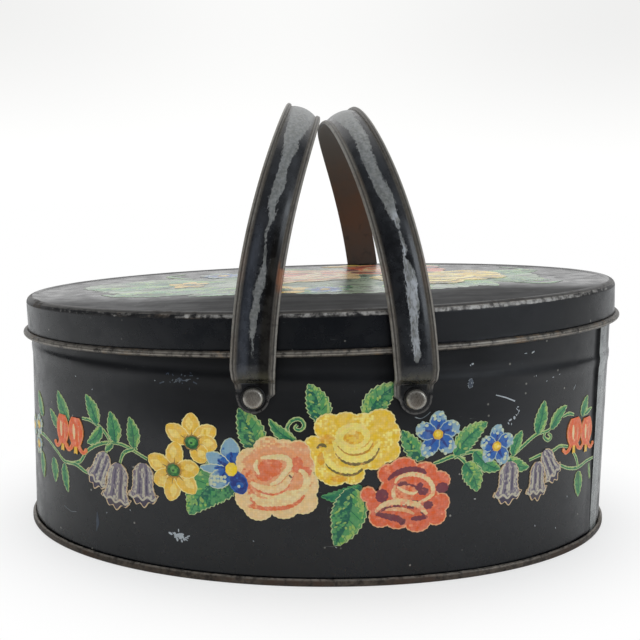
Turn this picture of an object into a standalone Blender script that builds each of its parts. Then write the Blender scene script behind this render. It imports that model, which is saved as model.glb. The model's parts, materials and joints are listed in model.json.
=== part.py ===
"""Oval lidded tin with two strap handles, for bobbins and sewing notions.

Frame: +X along the long axis of the oval, -Y the front, +Z up.  The origin is
the middle of the plane the bottom seam stands on.  Sizes are in millimetres and
become metres as the meshes are made.

The tin is an oval steel wall with a seamed-on bottom, a loose slip lid that sits
tipped up at its right end, and two pressed strap handles.  Each handle swings on
a front and a rear rivet; at rest both stand raised and lean together.
"""
import math

import bmesh
import bpy
import numpy as np
from mathutils import Matrix, Vector

MM = 0.001
LEFT, RIGHT = -1, 1          # signs along X
FRONT, REAR = -1, 1          # signs along Y

# ---- body --------------------------------------------------------------------
HALF_LENGTH = 132.0          # of the wall's outer face, along X
HALF_DEPTH = 96.0            # of the wall's outer face, along Y
SHEET = 0.6                  # thickness of wall, bottom and lid
HALF_SHEET = SHEET / 2
GAP = 0.3                    # clearance between neighbouring pieces
SEGMENTS = 60                # points round the oval
SMOOTH_ANGLE = 35.0          # edges sharper than this stay sharp, degrees

WALL_FOOT_Z = 0.95           # lower edge of the wall, inside the bottom seam
WALL_MID_Z = 30.0            # plain ring part way up the wall
BEAD_Z = 79.8                # middle of the shallow stop bead
BEAD_H = 3.6
BEAD_OUT = 0.45              # how far the bead stands out
BEAD_STEPS = 4
RIM_TOP = 99.7               # top of the wall's inward curl, at mid sheet
RIM_R = 1.0                  # radius of that curl, at mid sheet

SEAM_OUT = 1.7               # how far the bottom seam stands out from the wall
SEAM_H = 3.0
SEAM_LIP_R = 0.6             # upper roll of the seam, at mid sheet
SEAM_FOOT_R = 0.7            # lower roll of the seam, at mid sheet
SEAM_CLEARANCE = GAP + 0.2   # between the wall's inner face and the seam
FLOOR_Z = 3.2                # upper face of the recessed bottom panel

# ---- lid ---------------------------------------------------------------------
LID_OUT = 1.35               # skirt's inner face, outside the wall
LID_H = 17.1                 # from the curl's underside to the shoulder's top
LID_CURL_R = 1.35            # outer radius of the curl along the skirt's edge
LID_SHOULDER_R = 2.6         # outer radius of the shoulder roll
LID_SEAT_Z = 84.0            # underside of the curl when the lid is fully down
LID_SHIFT = 0.2              # the loose lid sits a little to the right
LID_TIP = 2.5                # tip of the lid at rest, right end up, degrees
LID_TURN = (-133.0, 0.0, 85.1)   # point the lid is tipped about

# ---- handles, with heights measured above the pivots ---------------------------
PIVOT_X = 30.4               # pivots, left and right of the middle
PIVOT_Z = 73.6
ARCH_H = 108.8               # top of the arch
ARCH_POWER = 3.2             # squareness of the arch
ARCH_Y = 100.3               # half span of the arch, at mid strap
ARCH_SAMPLES = 1200          # fine steps the even stations are taken from
ARCH_STATIONS = 30
LEAN = 22.8                  # how far the crown leans in from the pivots
SKEW = 1.8                   # both handles sit this far over to the left, degrees
TWIST = 25.0                 # tilt across the strap at the crown, degrees
STRAP_W = 16.8               # width just above the pivots
CROWN_W = 15.2               # width at the crown
STRAP_T = 0.8
BULGE = 0.5                  # how far the middle of the strap bulges out
RIM_H = 0.9                  # how far the rolled rims stand out
TAB_R = 6.1                  # round tab at each pivot
TAB_Y = 96.0                 # mid thickness of the tab
TAB_STEPS = 5                # steps round the tab's end
TAB_TIP_HALF_W = 0.9         # half width left at the tab's lowest point
JOG_START, JOG_END = 5.5, 8.7    # heights between which the strap steps out

# Flat band between the rims, and its inner points, as fractions of half width.
BAND_EDGE, BAND_INNER = 0.86, 0.4
BAND_LIFT = BULGE * (1.0 - (BAND_INNER / BAND_EDGE) ** 2)
# Strap section: (fraction of the half width, lift towards the outer face).
STRAP_SECTION = (
    (-1.0, 0.35 * RIM_H), (-0.94, RIM_H), (-BAND_EDGE, 0.0), (-BAND_INNER, BAND_LIFT),
    (BAND_INNER, BAND_LIFT), (BAND_EDGE, 0.0), (0.94, RIM_H), (1.0, 0.35 * RIM_H),
)

# ---- rivets ------------------------------------------------------------------
RIVET_HEAD_R = 3.5
RIVET_HEAD_H = 2.1
RIVET_HEAD_EDGE = 0.35       # straight edge below the dome
DOME_STEPS = 4
SHANK_R = 1.6
HOLE_R = 1.95                # every hole the shank passes
HOLE_SEGMENTS = 20
TURN_STEPS = 16              # steps round rivets and washers
HEAD_WASHER_R = 4.3          # under the rivet head
SPACER_R = 3.6               # between tab and wall
BURR_R = 4.6                 # washer inside the wall
WASHER_T = 0.5
SNUG_GAP = 0.9 * GAP         # at the spacer's ends and under the head
BURR_GAP = 1.1 * GAP         # between wall and burr washer

# Y ranges of the hole cutters, measured from the middle
WALL_CUT = (85.0, 100.0)
STRAP_CUT = (90.0, 99.0)


# ---- scene helpers -----------------------------------------------------------
def clear_scene():
    for ob in list(bpy.data.objects):
        bpy.data.objects.remove(ob, do_unlink=True)


def collection(name):
    col = bpy.data.collections.new(name)
    bpy.context.scene.collection.children.link(col)
    return col


def material(name, colour, roughness, metallic):
    mat = bpy.data.materials.new(name)
    mat.use_nodes = True
    bsdf = mat.node_tree.nodes["Principled BSDF"]
    bsdf.inputs["Base Color"].default_value = (*colour, 1.0)
    bsdf.inputs["Roughness"].default_value = roughness
    bsdf.inputs["Metallic"].default_value = metallic
    return mat


def make_materials():
    return {
        "black": material("black_litho_tin", colour=(0.020, 0.022, 0.022),
                          roughness=0.42, metallic=0.0),
        "underside": material("bare_tin_underside", colour=(0.20, 0.17, 0.13),
                              roughness=0.5, metallic=0.8),
        "strap": material("worn_black_strap", colour=(0.09, 0.085, 0.08),
                          roughness=0.45, metallic=0.6),
        "nickel": material("nickel_rivet", colour=(0.62, 0.61, 0.58),
                           roughness=0.28, metallic=1.0),
        "steel": material("plain_steel", colour=(0.45, 0.44, 0.42),
                          roughness=0.4, metallic=1.0),
    }


def add_object(name, bm, col, mat=None):
    """Turn a bmesh into an object in a collection."""
    mesh = bpy.data.meshes.new(name)
    bm.to_mesh(mesh)
    bm.free()
    ob = bpy.data.objects.new(name, mesh)
    col.objects.link(ob)
    if mat:
        mesh.materials.append(mat)
    return ob


def add_sheet(name, bm, col, mat, thickness):
    """A smooth-shaded surface, thickened evenly to both sides."""
    bmesh.ops.recalc_face_normals(bm, faces=bm.faces)
    ob = add_object(name, bm, col, mat)
    ob.data.shade_smooth()
    ob.data.set_sharp_from_angle(angle=math.radians(SMOOTH_ANGLE))
    mod = ob.modifiers.new("sheet", "SOLIDIFY")
    mod.thickness = thickness * MM
    mod.offset = 0.0
    mod.use_even_offset = True
    return ob


# ---- shape helpers -----------------------------------------------------------
def oval(offset, z):
    """Points round the wall's outer face, moved out along its normal by offset."""
    points = []
    for i in range(SEGMENTS):
        angle = 2.0 * math.pi * i / SEGMENTS
        cos, sin = math.cos(angle), math.sin(angle)
        normal_x, normal_y = cos / HALF_LENGTH, sin / HALF_DEPTH
        scale = offset / math.hypot(normal_x, normal_y)
        points.append(Vector(((HALF_LENGTH * cos + normal_x * scale) * MM,
                              (HALF_DEPTH * sin + normal_y * scale) * MM,
                              z * MM)))
    return points


def shell(name, profile, mat, col, cap=False):
    """A sheet swept round the oval through (offset, z) points at mid sheet.

    With cap the last ring is closed by a flat panel.
    """
    bm = bmesh.new()
    loops = []
    for offset, z in profile:
        ring = [bm.verts.new(point) for point in oval(offset, z)]
        loops.append([bm.edges.new((ring[i], ring[(i + 1) % SEGMENTS]))
                      for i in range(SEGMENTS)])
    for first, second in zip(loops, loops[1:]):
        bmesh.ops.bridge_loops(bm, edges=first + second)
    if cap:
        bmesh.ops.edgeloop_fill(bm, edges=loops[-1])
    return add_sheet(name, bm, col, mat, SHEET)


def arc(offset, z, radius, start, end, steps):
    """Profile points on an arc, angles in degrees from +offset towards +z."""
    angles = [math.radians(start + (end - start) * i / steps) for i in range(steps + 1)]
    return [(offset + radius * math.cos(angle), z + radius * math.sin(angle))
            for angle in angles]


def turned(name, profile, hand, side, y, mat, col):
    """A turned solid at a pivot, from (radius, height) pairs.

    Height 0 lies at distance y from the middle and heights grow outwards.  A
    profile that starts off the axis is closed into a ring.
    """
    bm = bmesh.new()
    verts = [bm.verts.new((radius * MM, 0.0, height * MM)) for radius, height in profile]
    for first, second in zip(verts, verts[1:]):
        bm.edges.new((first, second))
    if profile[0][0] > 0.0:
        bm.edges.new((verts[-1], verts[0]))
    ob = add_object(name, bm, col, mat)
    mod = ob.modifiers.new("turn", "SCREW")
    mod.axis = "Z"
    mod.angle = 2.0 * math.pi
    mod.steps = mod.render_steps = TURN_STEPS
    mod.use_merge_vertices = True
    mod.merge_threshold = 1e-6
    mod.use_smooth_shade = False
    ob.location = (hand * PIVOT_X * MM, side * y * MM, PIVOT_Z * MM)
    ob.rotation_euler = (math.radians(-90.0 * side), 0.0, 0.0)


def cut_hole(target, name, hand, side, y_range, cutters):
    """Cut a round rivet hole along Y through the target at one pivot."""
    y_near, y_far = y_range
    bm = bmesh.new()
    bmesh.ops.create_cone(bm, cap_ends=True, segments=HOLE_SEGMENTS,
                          radius1=HOLE_R * MM, radius2=HOLE_R * MM,
                          depth=(y_far - y_near) * MM,
                          matrix=Matrix.Rotation(math.radians(90.0), 4, "X"))
    cutter = add_object(name, bm, cutters)
    cutter.location = (hand * PIVOT_X * MM, side * 0.5 * (y_near + y_far) * MM,
                       PIVOT_Z * MM)
    cutter.hide_render = True
    cutter.display_type = "WIRE"
    mod = target.modifiers.new("cut_" + name, "BOOLEAN")
    mod.operation = "DIFFERENCE"
    mod.object = cutter
    mod.solver = "EXACT"


# ---- body --------------------------------------------------------------------
def body_wall(mats, parts, cutters):
    """Wall from its foot, over the stop bead, to the inward curl of the rim."""
    bead_foot = BEAD_Z - BEAD_H / 2
    profile = [(-HALF_SHEET, WALL_FOOT_Z), (-HALF_SHEET, WALL_MID_Z),
               (-HALF_SHEET, bead_foot)]
    for k in range(1, BEAD_STEPS):
        t = k / BEAD_STEPS
        profile.append((-HALF_SHEET + BEAD_OUT * math.sin(math.pi * t),
                        bead_foot + BEAD_H * t))
    profile.append((-HALF_SHEET, BEAD_Z + BEAD_H / 2))
    profile += arc(-HALF_SHEET - RIM_R, RIM_TOP - RIM_R, RIM_R,
                   start=0.0, end=240.0, steps=5)
    wall = shell("body_wall", profile, mats["black"], parts)
    for side, side_tag in ((FRONT, "f"), (REAR, "b")):
        for hand, hand_tag in ((LEFT, "l"), (RIGHT, "r")):
            cut_hole(wall, f"wall_hole_{hand_tag}{side_tag}", hand, side,
                     WALL_CUT, cutters)


def bottom_panel(mats, parts):
    """Seam from its upper lip round under the wall, then up to the floor."""
    outer = SEAM_OUT - HALF_SHEET
    inner = -SHEET - SEAM_CLEARANCE - HALF_SHEET
    floor = FLOOR_Z - HALF_SHEET
    profile = arc(outer - SEAM_LIP_R, SEAM_H - HALF_SHEET - SEAM_LIP_R, SEAM_LIP_R,
                  start=108.0, end=0.0, steps=3)
    profile += arc(outer - SEAM_FOOT_R, HALF_SHEET + SEAM_FOOT_R, SEAM_FOOT_R,
                   start=0.0, end=-90.0, steps=2)
    # Rise from the seam's underside to the recessed floor.
    profile += [(inner - 0.4, HALF_SHEET), (inner - 0.9, HALF_SHEET + 0.35),
                (inner - 1.5, floor - 0.4), (inner - 2.2, floor)]
    shell("bottom_panel", profile, mats["underside"], parts, cap=True)


# ---- lid ---------------------------------------------------------------------
def lid(mats, parts):
    """The lid in its own level frame, then tipped up about its left end."""
    skirt = LID_OUT + HALF_SHEET
    curl_r = LID_CURL_R - HALF_SHEET
    shoulder_r = LID_SHOULDER_R - HALF_SHEET
    top = LID_SEAT_Z + LID_H - HALF_SHEET
    profile = arc(skirt + curl_r, LID_SEAT_Z + LID_CURL_R, curl_r,
                  start=130.0, end=-180.0, steps=7)
    profile += arc(skirt - shoulder_r, top - shoulder_r, shoulder_r,
                   start=0.0, end=90.0, steps=4)
    # Shallow groove inside the shoulder, then the slightly sunk flat panel.
    shoulder = skirt - shoulder_r
    profile += [(shoulder - 1.3, top - 0.1), (shoulder - 2.2, top - 0.75),
                (shoulder - 3.2, top - 0.35)]
    ob = shell("lid", profile, mats["black"], parts, cap=True)
    turn_point = Vector(LID_TURN) * MM
    ob.data.transform(Matrix.Translation(Vector((LID_SHIFT * MM, 0, 0)) - turn_point))
    ob.location = turn_point
    ob.rotation_euler = (0.0, -math.radians(LID_TIP), 0.0)


# ---- handles -----------------------------------------------------------------
def foot_stations():
    """(y, height, half width) up the rear tab and through the step out."""
    stations = []
    for i in range(TAB_STEPS + 1):
        angle = math.pi / 2 * i / TAB_STEPS
        stations.append((TAB_Y, -TAB_R * math.cos(angle),
                         max(TAB_R * math.sin(angle), TAB_TIP_HALF_W)))
    stations.append((TAB_Y, JOG_START * 0.8, TAB_R))
    for t in (0.25, 0.5, 0.75):
        blend = 0.5 - 0.5 * math.cos(math.pi * t)
        stations.append((TAB_Y + (ARCH_Y - TAB_Y) * blend,
                         JOG_START + (JOG_END - JOG_START) * t,
                         TAB_R + (STRAP_W / 2 - TAB_R) * blend))
    return stations


def arch_stations():
    """(y, height, half width) over the arch, evenly spaced, front to rear."""
    power = 2.0 / ARCH_POWER
    samples = []
    for i in range(ARCH_SAMPLES + 1):
        angle = math.pi * i / ARCH_SAMPLES
        cos, sin = math.cos(angle), max(math.sin(angle), 0.0)
        height = ARCH_H * sin ** power
        if height >= JOG_END:
            samples.append((-ARCH_Y * math.copysign(abs(cos) ** power, cos), height))
    samples = np.array(samples)
    steps = np.hypot(*np.diff(samples, axis=0).T)
    along = np.concatenate([[0.0], np.cumsum(steps)])
    even = np.linspace(0, along[-1], ARCH_STATIONS)
    return [(y, height, 0.5 * (STRAP_W + (CROWN_W - STRAP_W) * (height / ARCH_H) ** 2))
            for y, height in zip(np.interp(even, along, samples[:, 0]),
                                 np.interp(even, along, samples[:, 1]))]


def handle(name, hand, mats, parts, cutters):
    foot = foot_stations()
    stations = [(-y, height, half_w) for y, height, half_w in foot]
    stations += arch_stations() + foot[::-1]
    last = len(stations) - 1
    # Share of the full lean and twist reached at each station.
    shares = [(max(height, 0.0) / ARCH_H) ** 2 for _, height, _ in stations]
    centres = [Vector((-hand * LEAN * share, y, height))
               for share, (y, height, _) in zip(shares, stations)]

    bm = bmesh.new()
    rows = []
    for i, (centre, share) in enumerate(zip(centres, shares)):
        half_w = stations[i][2]
        tangent = (centres[min(i + 1, last)] - centres[max(i - 1, 0)]).normalized()
        tilt = math.radians(TWIST) * share
        across = Vector((math.cos(tilt), 0.0, hand * math.sin(tilt)))
        across = (across - tangent * across.dot(tangent)).normalized()
        normal = across.cross(tangent).normalized()
        # The tabs are flat; bulge and rims grow in over three stations.
        past_foot = min(i, last - i) - len(foot)
        form = min(max((past_foot + 2) / 3.0, 0.0), 1.0)
        rows.append([bm.verts.new((centre + across * (half_w * fraction)
                                   + normal * (lift * form)) * MM)
                     for fraction, lift in STRAP_SECTION])
    for row, following in zip(rows, rows[1:]):
        for j in range(len(STRAP_SECTION) - 1):
            bm.faces.new((row[j], following[j], following[j + 1], row[j + 1]))
    strap = add_sheet(name, bm, parts, mats["strap"], STRAP_T)
    strap.location = (hand * PIVOT_X * MM, 0.0, PIVOT_Z * MM)
    strap.rotation_euler = (0.0, -math.radians(SKEW), 0.0)
    for side, side_tag in ((FRONT, "f"), (REAR, "b")):
        cut_hole(strap, f"{name}_hole_{side_tag}", hand, side, STRAP_CUT, cutters)


# ---- rivets and washers ------------------------------------------------------
def rivet_profile(set_height):
    """Domed head, shank, and the set end that starts at set_height."""
    profile = [(0.0, RIVET_HEAD_H)]
    for k in range(1, DOME_STEPS + 1):
        angle = math.pi / 2 * k / DOME_STEPS
        profile.append((RIVET_HEAD_R * math.sin(angle), RIVET_HEAD_EDGE
                        + (RIVET_HEAD_H - RIVET_HEAD_EDGE) * math.cos(angle)))
    return profile + [
        (RIVET_HEAD_R, 0.0), (SHANK_R, 0.0), (SHANK_R, set_height),
        (2.7, set_height - 0.15), (2.4, set_height - 0.9), (0.0, set_height - 1.1)]


def rivet_set(tag, hand, side, mats, parts):
    """Rivet, head washer, spacer and burr washer, stacked along Y at one pivot."""
    root = math.sqrt(1.0 - (PIVOT_X / HALF_LENGTH) ** 2)
    wall_y = HALF_DEPTH * root
    slope = HALF_DEPTH * PIVOT_X / (HALF_LENGTH ** 2 * root)
    # The spacer first meets the wall at its edge nearest the tin's middle.
    wall_near_middle = HALF_DEPTH * math.sqrt(
        1.0 - ((PIVOT_X - SPACER_R) / HALF_LENGTH) ** 2)
    spacer_in = wall_near_middle + SNUG_GAP
    spacer_out = TAB_Y - STRAP_T / 2 - SNUG_GAP
    washer_in = TAB_Y + STRAP_T / 2 + GAP
    head_y = washer_in + WASHER_T + SNUG_GAP
    burr_in = (wall_y - SHEET * math.hypot(1.0, slope) - BURR_R * slope
               - BURR_GAP - WASHER_T)

    for name, radius, y, thickness, mat in (
            ("head_washer", HEAD_WASHER_R, washer_in, WASHER_T, "nickel"),
            ("spacer", SPACER_R, spacer_in, spacer_out - spacer_in, "steel"),
            ("burr_washer", BURR_R, burr_in, WASHER_T, "steel")):
        section = [(radius, thickness), (radius, 0.0), (HOLE_R, 0.0), (HOLE_R, thickness)]
        turned(f"{name}_{tag}", section, hand, side, y, mats[mat], parts)
    turned(f"rivet_{tag}", rivet_profile(burr_in - GAP - head_y), hand, side, head_y,
           mats["nickel"], parts)


def main():
    clear_scene()
    parts = collection("bobbin_box")
    cutters = collection("cutters")
    mats = make_materials()
    body_wall(mats, parts, cutters)
    bottom_panel(mats, parts)
    lid(mats, parts)
    for hand, hand_name in ((LEFT, "left"), (RIGHT, "right")):
        handle(f"handle_{hand_name}", hand, mats, parts, cutters)
        for side, side_name in ((FRONT, "front"), (REAR, "rear")):
            rivet_set(f"{hand_name}_{side_name}", hand, side, mats, parts)


main()
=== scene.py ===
"""Looks for the oval sewing tin: printed body, worn lid, pressed strap handles.

The tin stands on z = 0 with its long axis along X and its front towards -Y. The scene
is in metres; the helpers below work in millimetres and mesh_object scales at the end.
"""

import json
import math

import bmesh
import bpy
import numpy as np
from mathutils import Matrix, Vector


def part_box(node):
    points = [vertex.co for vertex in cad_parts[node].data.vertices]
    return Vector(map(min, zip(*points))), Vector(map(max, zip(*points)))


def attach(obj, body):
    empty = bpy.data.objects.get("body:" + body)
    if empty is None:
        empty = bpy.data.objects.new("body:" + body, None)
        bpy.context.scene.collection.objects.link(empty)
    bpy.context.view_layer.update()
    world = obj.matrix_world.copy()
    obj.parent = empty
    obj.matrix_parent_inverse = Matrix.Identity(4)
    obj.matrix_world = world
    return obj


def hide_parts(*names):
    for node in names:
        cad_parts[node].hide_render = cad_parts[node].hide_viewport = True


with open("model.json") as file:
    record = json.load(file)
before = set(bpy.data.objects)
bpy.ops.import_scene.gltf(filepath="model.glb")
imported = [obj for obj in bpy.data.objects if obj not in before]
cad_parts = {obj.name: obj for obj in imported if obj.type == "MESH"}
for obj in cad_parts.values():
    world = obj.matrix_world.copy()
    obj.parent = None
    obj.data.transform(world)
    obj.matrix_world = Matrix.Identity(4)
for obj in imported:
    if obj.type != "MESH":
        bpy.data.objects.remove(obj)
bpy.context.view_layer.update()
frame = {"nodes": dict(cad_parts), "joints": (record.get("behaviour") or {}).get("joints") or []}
MM = 0.001

# ---- sizes, millimetres and degrees -------------------------------------------
JOINTS = {joint["name"]: joint for joint in frame["joints"]}
wall_lo, wall_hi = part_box("body_wall")
HALF_LENGTH, HALF_WIDTH = 132.0, 96.0    # of the oval, along X and Y
SHEET = 0.6                              # sheet thickness
WALL_FOOT = wall_lo.z / MM
RIM_TOP = wall_hi.z / MM - 0.3
RIM_R = 1.0                              # curl along the top of the wall
STOP_Z, STOP_OUT = 79.8, 0.45            # swage round the wall: height, depth
LAP_AT = 131.4                           # lapped side seam, round from the front middle
SEAM_OUT, SEAM_H, FLOOR_Z = 1.7, 3.0, 3.2
LID_OUT, LID_H, LID_CURL_R, LID_SHOULDER = 1.35, 17.1, 1.35, 2.6
LID_SEAT_Z, LID_SHIFT, LID_TIP = 84.0, 0.2, 2.5
LID_TOP = LID_SEAT_Z + LID_H
LID_POLE = [v / MM for v in JOINTS["lid_tip"]["pos_m"]]
PIVOT_X, _, PIVOT_Z = (v / MM for v in JOINTS["right_handle_swing"]["pos_m"])
ARCH_H, ARCH_POWER, ARCH_Y = 108.8, 3.2, 100.3   # superellipse arch of a strap
LEAN, SKEW, TWIST = 22.8, 1.8, 25.0      # crown moved inwards (mm), strap tipped, crown turned
STRAP_W, CROWN_W, STRAP_T = 16.8, 15.2, 0.8
STRAP_RIM_W = 2.05
STRAP_FOOT_W = 8.25                      # inner half width low on the strap
TAB_R, TAB_Y = 6.1, 96.0                 # round tab under the rivet
STEP_LOW, STEP_HIGH = 5.5, 8.7           # sloped step above the rivet
RING_GAP, RING_T = 0.3, 0.5              # ring under each rivet dome

# ---- the oval -----------------------------------------------------------------
ANGLES = np.linspace(-math.pi / 2, 1.5 * math.pi, 14401)
ARC_LENGTHS = np.concatenate([[0.0], np.cumsum(np.hypot(
    np.diff(HALF_LENGTH * np.cos(ANGLES)), np.diff(HALF_WIDTH * np.sin(ANGLES))))])
GIRTH = ARC_LENGTHS[-1]


def on_wall(around, z, out):
    """Points at a distance round the wall from the front middle, moved out."""
    angle = np.interp(np.mod(around, GIRTH), ARC_LENGTHS, ANGLES)
    normal_x, normal_y = np.cos(angle) / HALF_LENGTH, np.sin(angle) / HALF_WIDTH
    length = np.hypot(normal_x, normal_y)
    x = HALF_LENGTH * np.cos(angle) + normal_x / length * out
    y = HALF_WIDTH * np.sin(angle) + normal_y / length * out
    return np.stack([x, y, z + 0.0 * x], -1)


def tip_lid(points):
    """Points in the lid's own level frame, moved to where it sits at rest."""
    tip = math.radians(LID_TIP)
    x = points[..., 0] + LID_SHIFT - LID_POLE[0]
    z = points[..., 2] - LID_POLE[2]
    return np.stack([LID_POLE[0] + x * math.cos(tip) - z * math.sin(tip), points[..., 1],
                     LID_POLE[2] + x * math.sin(tip) + z * math.cos(tip)], -1)


def smooth(start, end, x):
    """Smoothstep from 0 at start to 1 at end; start may lie above end."""
    t = np.clip((np.asarray(x, float) - start) / (end - start), 0.0, 1.0)
    return t * t * (3 - 2 * t)


def rgb(red, green, blue):
    """sRGB 0-255 to linear."""
    c = np.array([red, green, blue], float) / 255.0
    return tuple(np.where(c <= 0.04045, c / 12.92, ((c + 0.055) / 1.055) ** 2.4))


# ---- meshes -------------------------------------------------------------------
def mesh_object(name, verts, faces, materials, attributes=None, face_mats=None, angle=40.0):
    """Smooth-shaded object from millimetre points; edges over the angle stay sharp."""
    mesh = bpy.data.meshes.new(name)
    mesh.from_pydata([tuple(v) for v in np.asarray(verts, float) * MM], [], faces)
    for material in materials:
        mesh.materials.append(material)
    if face_mats is not None:
        mesh.polygons.foreach_set("material_index", np.asarray(face_mats, np.int32))
    for key, values in (attributes or {}).items():
        values = np.asarray(values, np.float32)
        if values.ndim == 1:
            kind, field = "FLOAT", "value"
        elif values.shape[1] == 4:
            kind, field = "FLOAT_COLOR", "color"
        else:
            kind, field = "FLOAT_VECTOR", "vector"
        mesh.attributes.new(key, kind, "POINT").data.foreach_set(field, values.ravel())
    mesh.update()
    mesh.shade_smooth()
    mesh.set_sharp_from_angle(angle=math.radians(angle))
    piece = bpy.data.objects.new(name, mesh)
    bpy.context.scene.collection.objects.link(piece)
    return piece


def fix_normals(piece, weld=False):
    """Turn all faces outwards, after merging points that coincide if asked."""
    work = bmesh.new()
    work.from_mesh(piece.data)
    if weld:
        bmesh.ops.remove_doubles(work, verts=work.verts, dist=1e-6)
    bmesh.ops.recalc_face_normals(work, faces=work.faces)
    work.to_mesh(piece.data)
    work.free()


def register(piece, body, replaced=None):
    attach(piece, body)
    if replaced:
        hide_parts(replaced)


def arc_points(x, z, radius, start, end, steps):
    angles = np.radians(np.linspace(start, end, steps + 1))
    return [(x + radius * math.cos(a), z + radius * math.sin(a)) for a in angles]


def offset_line(line, distance):
    """A polyline moved sideways, to the left of its direction."""
    points = np.array(line, float)
    way = np.zeros_like(points)
    way[1:-1] = points[2:] - points[:-2]
    way[0], way[-1] = points[1] - points[0], points[-1] - points[-2]
    way /= np.linalg.norm(way, axis=1)[:, None]
    return points + distance * np.stack([-way[:, 1], way[:, 0]], -1)


def sheet_section(line, thick):
    """Closed outline of a sheet that follows the line: right side, then left side."""
    left, right = offset_line(line, thick / 2), offset_line(line, -thick / 2)
    points = np.array(line, float)

    def cap(end, before):
        way = end - before
        return end + way / np.linalg.norm(way) * thick * 0.35
    return np.vstack([right, [cap(points[-1], points[-2])],
                      left[::-1], [cap(points[0], points[1])]])


def lengths_along(points):
    return np.concatenate([[0], np.cumsum(np.linalg.norm(np.diff(points, axis=0), axis=1))])


def resample(line, step):
    points = np.array(line, float)
    along = lengths_along(points)
    count = max(2, int(math.ceil(along[-1] / step)) + 1)
    marks = np.linspace(0, along[-1], count)
    return np.stack([np.interp(marks, along, column) for column in points.T], -1)


def spline(points, step=0.5):
    """Catmull-Rom through the points, evenly resampled."""
    knots = np.array(points, float)
    knots = np.vstack([2 * knots[0] - knots[1], knots, 2 * knots[-1] - knots[-2]])
    curve = []
    for i in range(len(knots) - 3):
        a, b, c, d = knots[i:i + 4]
        for t in np.linspace(0, 1, 12, endpoint=False):
            curve.append(0.5 * (2 * b + (c - a) * t + (2 * a - 5 * b + 4 * c - d) * t ** 2
                                + (3 * b - a - 3 * c + d) * t ** 3))
    curve.append(knots[-2])
    return resample(curve, step)


# ---- node helpers -------------------------------------------------------------
class Value:
    """A node output that can be used in arithmetic."""

    def __init__(self, tree, socket):
        self.tree, self.socket = tree, socket

    def __add__(self, other):
        return self.tree.math("ADD", self, other)

    def __sub__(self, other):
        return self.tree.math("SUBTRACT", self, other)

    def __rsub__(self, other):
        return self.tree.math("SUBTRACT", other, self)

    def __mul__(self, other):
        return self.tree.math("MULTIPLY", self, other)

    def ramp(self, start, end, low=0.0, high=1.0):
        """Smoothstep from low where this equals start to high where it equals end."""
        return self.tree.node("ShaderNodeMapRange", {
            "Value": self, "From Min": start, "From Max": end, "To Min": low,
            "To Max": high}, interpolation_type="SMOOTHSTEP")


class Tree:
    """Shorthand for building a node tree."""

    def __init__(self, tree):
        self.tree = tree

    def put(self, socket, value):
        if isinstance(value, Value):
            self.tree.links.new(value.socket, socket)
        elif hasattr(socket.default_value, "__len__"):
            value = tuple(value) if hasattr(value, "__len__") else (value,) * 3
            socket.default_value = (value + (1.0,))[:len(socket.default_value)]
        else:
            socket.default_value = value

    def outputs(self, kind, inputs, **props):
        node = self.tree.nodes.new(kind)
        for key, value in props.items():
            setattr(node, key, value)
        for key, value in inputs.items():
            self.put(node.inputs[key], value)
        return node.outputs

    def node(self, kind, inputs, output=0, **props):
        return Value(self, self.outputs(kind, inputs, **props)[output])

    def attribute(self, name, output="Fac"):
        return self.node("ShaderNodeAttribute", {}, output, attribute_name=name)

    def light_path(self, output):
        return self.node("ShaderNodeLightPath", {}, output)

    def coordinates(self, output):
        return self.node("ShaderNodeTexCoord", {}, output)

    def math(self, operation, *values):
        return self.node("ShaderNodeMath", dict(enumerate(values)), operation=operation)

    def larger(self, first, second):
        return self.math("MAXIMUM", first, second)

    def vector(self, operation, first, second=None):
        """Vector math; SCALE takes a number second, LENGTH takes nothing."""
        inputs = {0: first}
        if second is not None:
            inputs[3 if operation == "SCALE" else 1] = second
        output = "Value" if operation == "LENGTH" else "Vector"
        return self.node("ShaderNodeVectorMath", inputs, output, operation=operation)

    def combine(self, x, y, z):
        return self.node("ShaderNodeCombineXYZ", {0: x, 1: y, 2: z})

    def split(self, vector):
        return [Value(self, s) for s in self.outputs("ShaderNodeSeparateXYZ", {0: vector})]

    def noise(self, scale, detail=3.0, roughness=0.55, distortion=0.0, at=None, stretch=None):
        """Noise over the object's own coordinates unless another vector is given."""
        at = at or self.point
        if stretch:
            at = self.vector("MULTIPLY", at, stretch)
        return self.node("ShaderNodeTexNoise", {
            "Vector": at, "Scale": scale, "Detail": detail, "Roughness": roughness,
            "Distortion": distortion})

    def voronoi(self, scale, output="Distance"):
        return self.node("ShaderNodeTexVoronoi", {"Vector": self.point, "Scale": scale},
                         output, feature="F1")

    def mix(self, factor, first, second, blend="MIX"):
        """Mix of two colours."""
        return self.node("ShaderNodeMix", {"Factor": factor, 6: first, 7: second}, 2,
                         data_type="RGBA", blend_type=blend)

    def mix_number(self, factor, first, second):
        return self.node("ShaderNodeMix", {0: factor, 2: first, 3: second},
                         data_type="FLOAT")

    def bump(self, height, strength, distance):
        return self.node("ShaderNodeBump", {"Strength": strength, "Distance": distance,
                                            "Height": height})


class Material(Tree):
    """Node tree of a new material, over the object's own coordinates."""

    def __init__(self, name):
        self.material = bpy.data.materials.new(name)
        self.material.use_nodes = True
        super().__init__(self.material.node_tree)
        self.surface = self.tree.nodes["Principled BSDF"]
        self.point = self.coordinates("Object")

    def finish(self, colour, roughness, metallic=0.0, normal=None, specular=None):
        for key, value in (("Base Color", colour), ("Roughness", roughness),
                           ("Metallic", metallic), ("Normal", normal),
                           ("Specular IOR Level", specular)):
            if value is not None:
                self.put(self.surface.inputs[key], value)
        return self.material


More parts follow.
